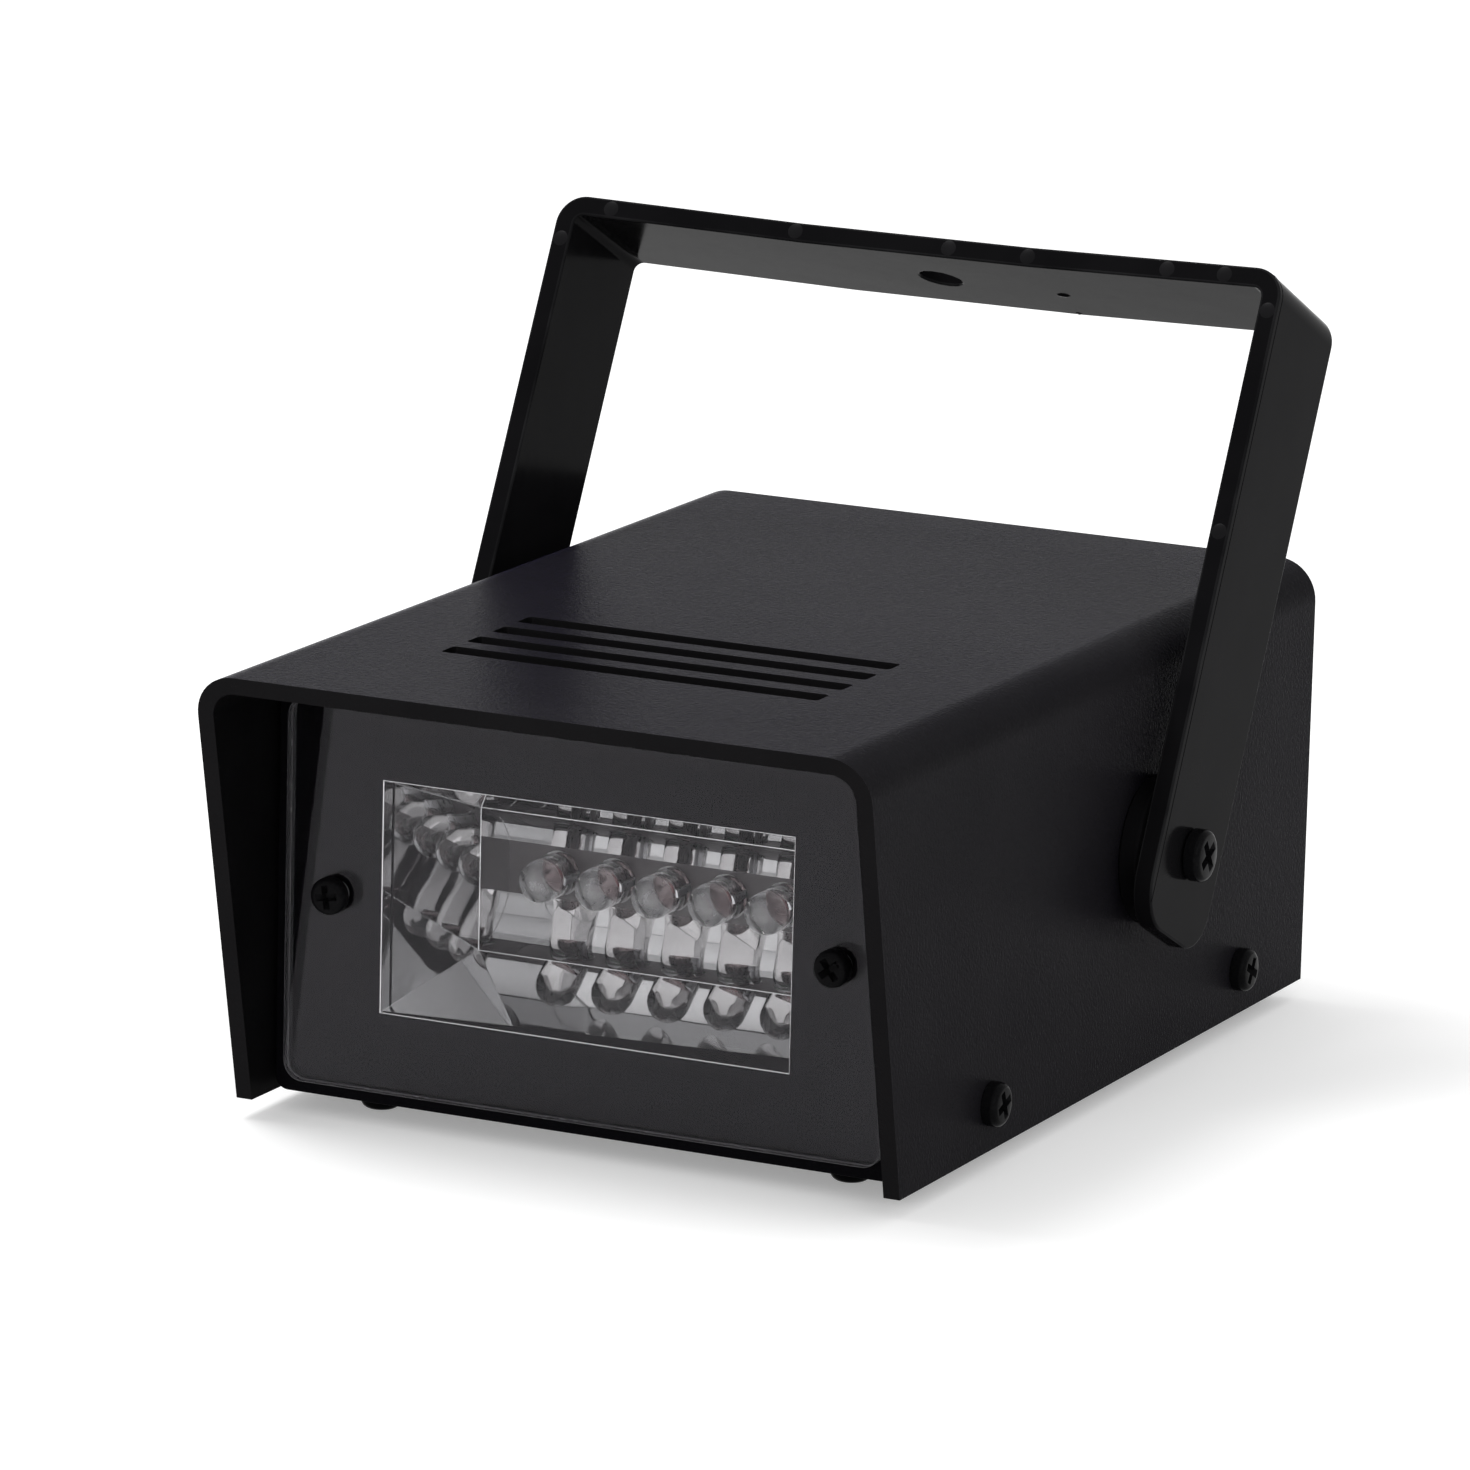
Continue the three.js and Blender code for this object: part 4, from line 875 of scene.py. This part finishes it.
def make_pane(glass, cut):
    """The clear sheet, whose cut edges get an opaque light grey: a painted highlight line along its rim."""
    bm = prism(rounded_outline(*PANE_HALF, PANE_CORNER, 12), -PANE_THICK / 2, PANE_THICK / 2)
    holes = [prism(circle(side * PANE_HOLE_X, 0, PANE_HOLE, 24), -2, 2) for side in SIDES]
    bm = carve(bm, holes)
    soften(bm, PANE_EDGE * MM, angle=40)
    # the rounded edge faces take the second material, an opaque light grey that paints a highlight line
    rim = bm.faces.layers.float[WEAR_AND_HIGHLIGHT_EDGES]
    for face in bm.faces:
        if face[rim] > 0.5:
            face.material_index = 1
    placed(bm, at(0, PANE_Y, LIGHT_Z), Vector((0, -1, 0)))
    piece = finish_mesh("front_pane_sheet", bm, "housing", glass)
    piece.data.materials.append(cut)
    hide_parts("front_pane")


# Yoke

LEAN = math.radians(26.5)
PIVOT = at(0, 14.3, 26.2)
YOKE_FRONT = -9.5  # the front edge, across the band from the pivot
ARM_X, ARM_FOOT, BEND_UP = 47.5, -8, 65.0  # the arm's outer face, its lower end and the start of the bend
BEND_RADIUS = 3.6
CROSSBAR_UP, LEVEL_HALF = 68.1, 15  # the crossbar's middle, a little lower than beside the bends
YOKE_EDGE = 0.28
# Places of the ejector marks on the front edge, from the middle and up from the pivot
EJECTOR_MARKS = [(-40.5, 67.3), (-15.7, 67.0), (4.5, 66.9), (14.8, 66.9), (32.7, 67.2), (40.0, 67.3),
                 (46.3, 63.5), (46.3, 36.4), (-46.3, 63.0)]
EJECTOR_MARK = [(0, -0.2), (0.95, -0.2), (0.95, 0.0), (0.83, 0.045), (0, 0.045)]
PARTING_ACROSS, PARTING_HALF, PARTING_PROUD = -8.45, 0.09, 0.05
PARTING_CREST = 0.4  # share of the ridge's width that its crest has
GATE = [(0, -0.2), (0.75, -0.2), (0.7, 0.1), (0.4, 0.30), (0, 0.34)]
GATE_PLACE, GATE_STRETCH = (15.5, 1.5, 65.85), (1.5, 1, 1)
NICK = [(0, -0.3), (0.7, -0.3), (0.55, 0.2), (0, 0.34)]
NICK_PLACE, NICK_WAY = (14.7, 9.1, 65.95), (0, 0.3, -1)


def on_yoke(x, across, up):
    """A point on the yoke: across runs from its front edge to its rear edge, up along its arms."""
    return PIVOT + Matrix.Rotation(-LEAN, 3, "X") @ (Vector((x, across, up)) * MM)


def yoke_direction(x, across, up):
    return Matrix.Rotation(-LEAN, 3, "X") @ Vector((x, across, up))


def make_yoke(gloss, witness):
    """The CAD band with softened edges, its ejector marks, its parting line and its gate mark."""
    dress("yoke", "yoke_frame", gloss, YOKE_EDGE, 3)
    bm = bmesh.new()
    for x, up in EJECTOR_MARKS:
        disc = lathe(EJECTOR_MARK, 28)
        join(bm, placed(disc, on_yoke(x, YOKE_FRONT, up), yoke_direction(0, -1, 0)))
    marks = finish_mesh("yoke_ejector_marks", bm, "yoke_frame", witness, smooth_angle=30, weighted=False)
    make_parting_line(gloss)
    gate = lathe(GATE, 20)
    bmesh.ops.scale(gate, vec=GATE_STRETCH, verts=gate.verts)
    placed(gate, on_yoke(*GATE_PLACE), yoke_direction(0, 0, -1))
    nick = placed(lathe(NICK, 16), on_yoke(*NICK_PLACE), yoke_direction(*NICK_WAY).normalized())
    join(gate, nick)
    mark = finish_mesh("yoke_gate_mark", gate, "yoke_frame", gloss, smooth_angle=40, weighted=False)


def make_parting_line(gloss):
    """A hair-thin ridge round the outside of the band, near its front edge."""
    bend_x = ARM_X - BEND_RADIUS
    path = [(ARM_X, ARM_FOOT), (ARM_X, BEND_UP)]
    path += arc((bend_x, BEND_UP), BEND_RADIUS, 0, 90, 8)[1:]
    path += [(LEVEL_HALF, CROSSBAR_UP), (-LEVEL_HALF, CROSSBAR_UP)]
    path += arc((-bend_x, BEND_UP), BEND_RADIUS, 90, 180, 8)
    path += [(-ARM_X, ARM_FOOT)]
    sunk = -PARTING_PROUD
    crest = PARTING_HALF * PARTING_CREST
    section = [(-PARTING_HALF, sunk), (-crest, PARTING_PROUD), (crest, PARTING_PROUD), (PARTING_HALF, sunk)]
    bm = bmesh.new()
    rings = []
    for k, (x, up) in enumerate(path):
        before, after = path[max(k - 1, 0)], path[min(k + 1, len(path) - 1)]
        heading = Vector((after[0] - before[0], after[1] - before[1])).normalized()
        out = Vector((heading.y, -heading.x))
        rings.append([bm.verts.new(on_yoke(x + out.x * height, PARTING_ACROSS + across, up + out.y * height))
                      for across, height in section])
    for ring, following in zip(rings, rings[1:]):
        bridge(bm, ring, following)
    bm.faces.new(rings[0])
    bm.faces.new(rings[-1][::-1])
    seam = finish_mesh("yoke_parting_line", bm, "yoke_frame", gloss, smooth_angle=50, weighted=False)


# Housing

COVER_HALF, COVER_HALF_HEIGHT, COVER_AXIS_Z = 42, 26, 24
COVER_EDGE, CHASSIS_EDGE = 0.13, 0.15
INWARD = -0.3  # a face whose normal points further than this towards the cover's axis is inside
SLOTS_Y = [-36.3, -30.0, -23.7, -17.4]
SLOT_FRONT = (-1.3, -0.1)  # where the front walls lie, from the slots' middle lines
SLOT_GROWTH = 1.0
SLOT_REACH, SLOT_LEVEL = 24, 49  # beyond the slots' ends, and just under the top
WINDOW_REACH = (28, 15.3)  # just beyond the window's half width and half height
PANEL_BACK = -45  # behind the front panel
SPACER_THICK, SPACER_EDGE = 2.85, 0.9
SPACER = [(1.7, 0), (8.5, 0), (8.8, 0.3), *arc((7.9, SPACER_THICK - SPACER_EDGE), SPACER_EDGE, 0, 90, 8),
          (4.3, SPACER_THICK), (4.1, SPACER_THICK - 0.15), (1.7, SPACER_THICK - 0.15)]


def widen_slots(bm):
    """Moves the front walls of the vent slots forward, to the width the photograph shows."""
    for v in bm.verts:
        place = (v.co - CASE) / MM
        over_slots = place.z > SLOT_LEVEL and abs(place.x) < SLOT_REACH
        if over_slots and any(SLOT_FRONT[0] < place.y - y < SLOT_FRONT[1] for y in SLOTS_Y):
            v.co.y -= SLOT_GROWTH * MM


def at_window(vertex):
    """Whether a vertex of the chassis is on the window's edge in the front panel."""
    place = (vertex.co - CASE) / MM
    aside = abs(place.x) < WINDOW_REACH[0] and abs(place.z - LIGHT_Z) < WINDOW_REACH[1]
    return aside and place.y < PANEL_BACK


def draw_in_window(bm):
    """Moves the window's edge in to the reflector's mouth."""
    for v in filter(at_window, bm.verts):
        x, z = min(MOUTH, key=lambda corner: (at_light(corner[0], 0, corner[1]) - v.co).xz.length)
        v.co.x = x * MM
        v.co.z = CASE.z + (LIGHT_Z + z) * MM


def on_window_cut(edge):
    return all(map(at_window, edge.verts))


def make_cover(moulding, inside):
    """The cover, whose inner faces, left without grain by the mould, get a darker black with almost no
    reflection: painted shade.
    """
    cover = dress("top_cover", "housing", moulding, COVER_EDGE, shape=widen_slots)
    cover.data.materials.append(inside)
    # inner faces take the second material, a darker black that paints shade inside the cover
    axis = at(0, 0, COVER_AXIS_Z)
    for face in cover.data.polygons:
        away = (face.center - axis) / MM
        outward = face.normal.x * away.x / COVER_HALF + face.normal.z * away.z / COVER_HALF_HEIGHT
        if outward < INWARD:
            face.material_index = 1


def make_spacers(gloss):
    """Round spacers with a rolled edge between the cover and the yoke's arms."""
    for side, name in zip(SIDES, ("left", "right")):
        node = "pivot_spacer_" + name
        place = Vector((side * COVER_HALF * MM, PIVOT.y, PIVOT.z))
        bm = placed(ring_lathe(SPACER, 72), place, Vector((side, 0, 0)))
        piece = finish_mesh(node + "_made", bm, "housing", gloss, smooth_angle=35, weighted=False)
        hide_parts(node)


# Rear fittings. Profiles are (radius, height) from the rear panel.

REARWARD = Vector((0, 1, 0))
KNOB_OUTSIDE = [(0, 12.95), (5.9, 12.95), (6.6, 12.75), (7.0, 12.2), (7.1, 11), (7.85, 1.6), (8.0, 0.9),
                (7.8, 0.25), (7.5, 0)]
KNOB_HOLLOW = [(6.8, 0), (6.8, 6.2), (3.15, 6.2), (3.15, 10.4), (0, 10.4)]
FLUTES, FLUTE_DEPTH, FLUTE_POWER = 30, 0.34, 0.6
FLUTED_OVER, FLUTED_FROM, FLUTED_TO = 6.9, 1.4, 12.3  # radius, and heights from and to
POINTER = [(-0.5, 0.8), (0.5, 0.8), (0.5, 6.4), (0.2, 6.7), (-0.2, 6.7), (-0.5, 6.4)]
POINTER_SPAN, POINTER_EDGE = (12.6, 13.0), 0.05
INLET = [(0, -12), (4, -12), (4, 0), (5.35, 0), (5.5, 0.15), (5.5, 1.5), *arc((5.0, 1.5), 0.5, 0, 90, 5),
         (3.15, 2.0), (2.85, 1.7), (2.85, -7), (0, -7)]
PIN = [(0, -7.5), (1.0, -7.5), (1.0, 0.7), *arc((0.6, 0.8), 0.4, 0, 90, 4)[:-1], (0, 1.2)]


def flute(bm):
    """Presses round grooves into the knob's side."""
    for v in bm.verts:
        height = v.co.z / MM
        radius = math.hypot(v.co.x, v.co.y) / MM
        if radius > FLUTED_OVER and FLUTED_FROM < height < FLUTED_TO:
            angle = math.atan2(v.co.y, v.co.x)
            depth = FLUTE_DEPTH * max(0, math.cos(angle * FLUTES)) ** FLUTE_POWER
            scale = (radius - depth) / radius
            v.co.x *= scale
            v.co.y *= scale


def make_knob(grip, paint):
    """A fluted knob, hollow over the nut, with a painted pointer."""
    low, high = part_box("speed_knob")
    centre = Vector(((low.x + high.x) / 2, low.y, PIVOT.z))
    bm = lathe(KNOB_OUTSIDE + KNOB_HOLLOW, 180)
    flute(bm)
    placed(bm, centre, REARWARD)
    piece = finish_mesh("speed_knob_made", bm, "speed_dial", grip, smooth_angle=42, weighted=False)
    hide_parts("speed_knob")
    line = prism(POINTER, *POINTER_SPAN)
    soften(line, POINTER_EDGE * MM)
    upright = Matrix.Rotation(math.radians(-90), 4, "X") @ Matrix.Scale(-1, 4, (0, 1, 0))
    bmesh.ops.transform(line, matrix=Matrix.Translation(centre) @ upright, verts=line.verts)
    pointer = finish_mesh("speed_pointer", line, "speed_dial", paint)


def make_inlet(resin, plated):
    """The power socket: a rimmed sleeve with a metal pin."""
    low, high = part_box("power_inlet")
    centre = Vector(((low.x + high.x) / 2, case_high.y, PIVOT.z))
    bm = placed(lathe(INLET, 48), centre, REARWARD)
    piece = finish_mesh("power_inlet_made", bm, "housing", resin, smooth_angle=40, weighted=False)
    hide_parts("power_inlet")
    pin = placed(lathe(PIN, 28), centre, REARWARD)
    metal = finish_mesh("power_inlet_pin", pin, "housing", plated, smooth_angle=40, weighted=False)


# Stage

FLOOR_TONE, FLOOR_GLOW = 0.86, 0.3
FLOOR_HALF = 6  # metres
FLOOR_GAP = 0.02
WORLD_LEVEL = 0.8
LIGHT_AIM = Vector((0, 0, 0.04))
# Place and size in metres, power in watts
STUDIO_LIGHTS = {"key": ((-0.35, -0.1, 0.9), 0.4, 4.0), "fill": ((0.8, -0.6, 0.5), 0.6, 1.0)}


def pale_floor():
    """A matt floor that glows to the camera and in reflections, so that it is white and keeps the shadow."""
    pale = bpy.data.materials.new("pale_floor")
    pale.use_nodes = True
    tree = pale.node_tree
    tree.nodes.clear()
    output = tree.nodes.new("ShaderNodeOutputMaterial")
    add = tree.nodes.new("ShaderNodeAddShader")
    diffuse = tree.nodes.new("ShaderNodeBsdfDiffuse")
    diffuse.inputs["Color"].default_value = (FLOOR_TONE, FLOOR_TONE, FLOOR_TONE, 1)
    glow = tree.nodes.new("ShaderNodeEmission")
    glow.inputs["Color"].default_value = (1, 1, 1, 1)
    seen = tree.nodes.new("ShaderNodeLightPath").outputs
    direct = math_node(tree, "MAXIMUM", seen["Is Camera Ray"], seen["Is Glossy Ray"])
    either = math_node(tree, "MAXIMUM", direct, seen["Is Transmission Ray"])
    tree.links.new(math_node(tree, "MULTIPLY", either, FLOOR_GLOW), glow.inputs["Strength"])
    tree.links.new(diffuse.outputs[0], add.inputs[0])
    tree.links.new(glow.outputs[0], add.inputs[1])
    tree.links.new(add.outputs[0], output.inputs[0])
    return pale


def make_floor():
    bm = bmesh.new()
    bmesh.ops.create_grid(bm, x_segments=2, y_segments=2, size=FLOOR_HALF)
    floor = loose(bm, "floor")
    floor.location.z = cad_low.z - FLOOR_GAP * MM
    floor.data.materials.append(pale_floor())


def make_world():
    world = bpy.data.worlds.new("studio")
    world.use_nodes = True
    tree = world.node_tree
    tree.nodes.clear()
    output = tree.nodes.new("ShaderNodeOutputWorld")
    background = tree.nodes.new("ShaderNodeBackground")
    background.inputs["Color"].default_value = (1, 1, 1, 1)
    background.inputs["Strength"].default_value = WORLD_LEVEL
    tree.links.new(background.outputs[0], output.inputs[0])
    bpy.context.scene.world = world


def make_studio_lights():
    for name, (place, size, power) in STUDIO_LIGHTS.items():
        light = bpy.data.lights.new(name, "AREA")
        light.shape = "SQUARE"
        light.size = size
        light.energy = power
        lamp = bpy.data.objects.new(name, light)
        lamp.location = place
        lamp.rotation_mode = "QUATERNION"
        lamp.rotation_quaternion = (LIGHT_AIM - lamp.location).to_track_quat("-Z", "Y")
        bpy.context.scene.collection.objects.link(lamp)


def make_object():
    """Every visible piece, and a finish for each CAD node that shows as it is."""
    plain = {name: moulded(name, *look) for name, look in PLAIN.items()}
    finishes = {
        "black_moulding": black_moulding(), "gloss_black": gloss_black(), "black_screw": black_steel(),
        "zinc_plating": zinc(), "circuit_board": circuit_board(), "clear_plastic": clear_pane(),
        "metallised_plastic": chrome(),
    }
    for name in ("black_resin", "capacitor_sleeve", "red_wire", "black_wire", "knob_plastic"):
        finishes[name] = plain[name]
    panel, gloss, plated = panel_black(), finishes["gloss_black"], finishes["zinc_plating"]
    mirror = finishes["metallised_plastic"]
    make_cover(finishes["black_moulding"], plain["inside_painted_shade_black"])
    dress("chassis", "housing", panel, CHASSIS_EDGE, shape=draw_in_window, keep=on_window_cut)
    make_yoke(gloss, plain["witness_mark"])
    make_spacers(gloss)
    make_pane(finishes["clear_plastic"], plain["pane_edge_painted_highlight"])
    make_reflector(mirror, panel, plain["thin_metallising"])
    make_lamps(lamp_resin(), lead_metal(), plated, plain["lamp_chip"])
    make_screws(finishes)
    make_knob(plain["knob_plastic"], plain["pointer_paint"])
    make_inlet(plain["black_resin"], plated)
    for name, node in nodes.items():
        node.data.materials.clear()
        node.data.materials.append(finishes[slots[name]])


bpy.context.scene.view_settings.view_transform = "Standard"
make_camera()
make_object()
make_floor()
make_world()
make_studio_lights()
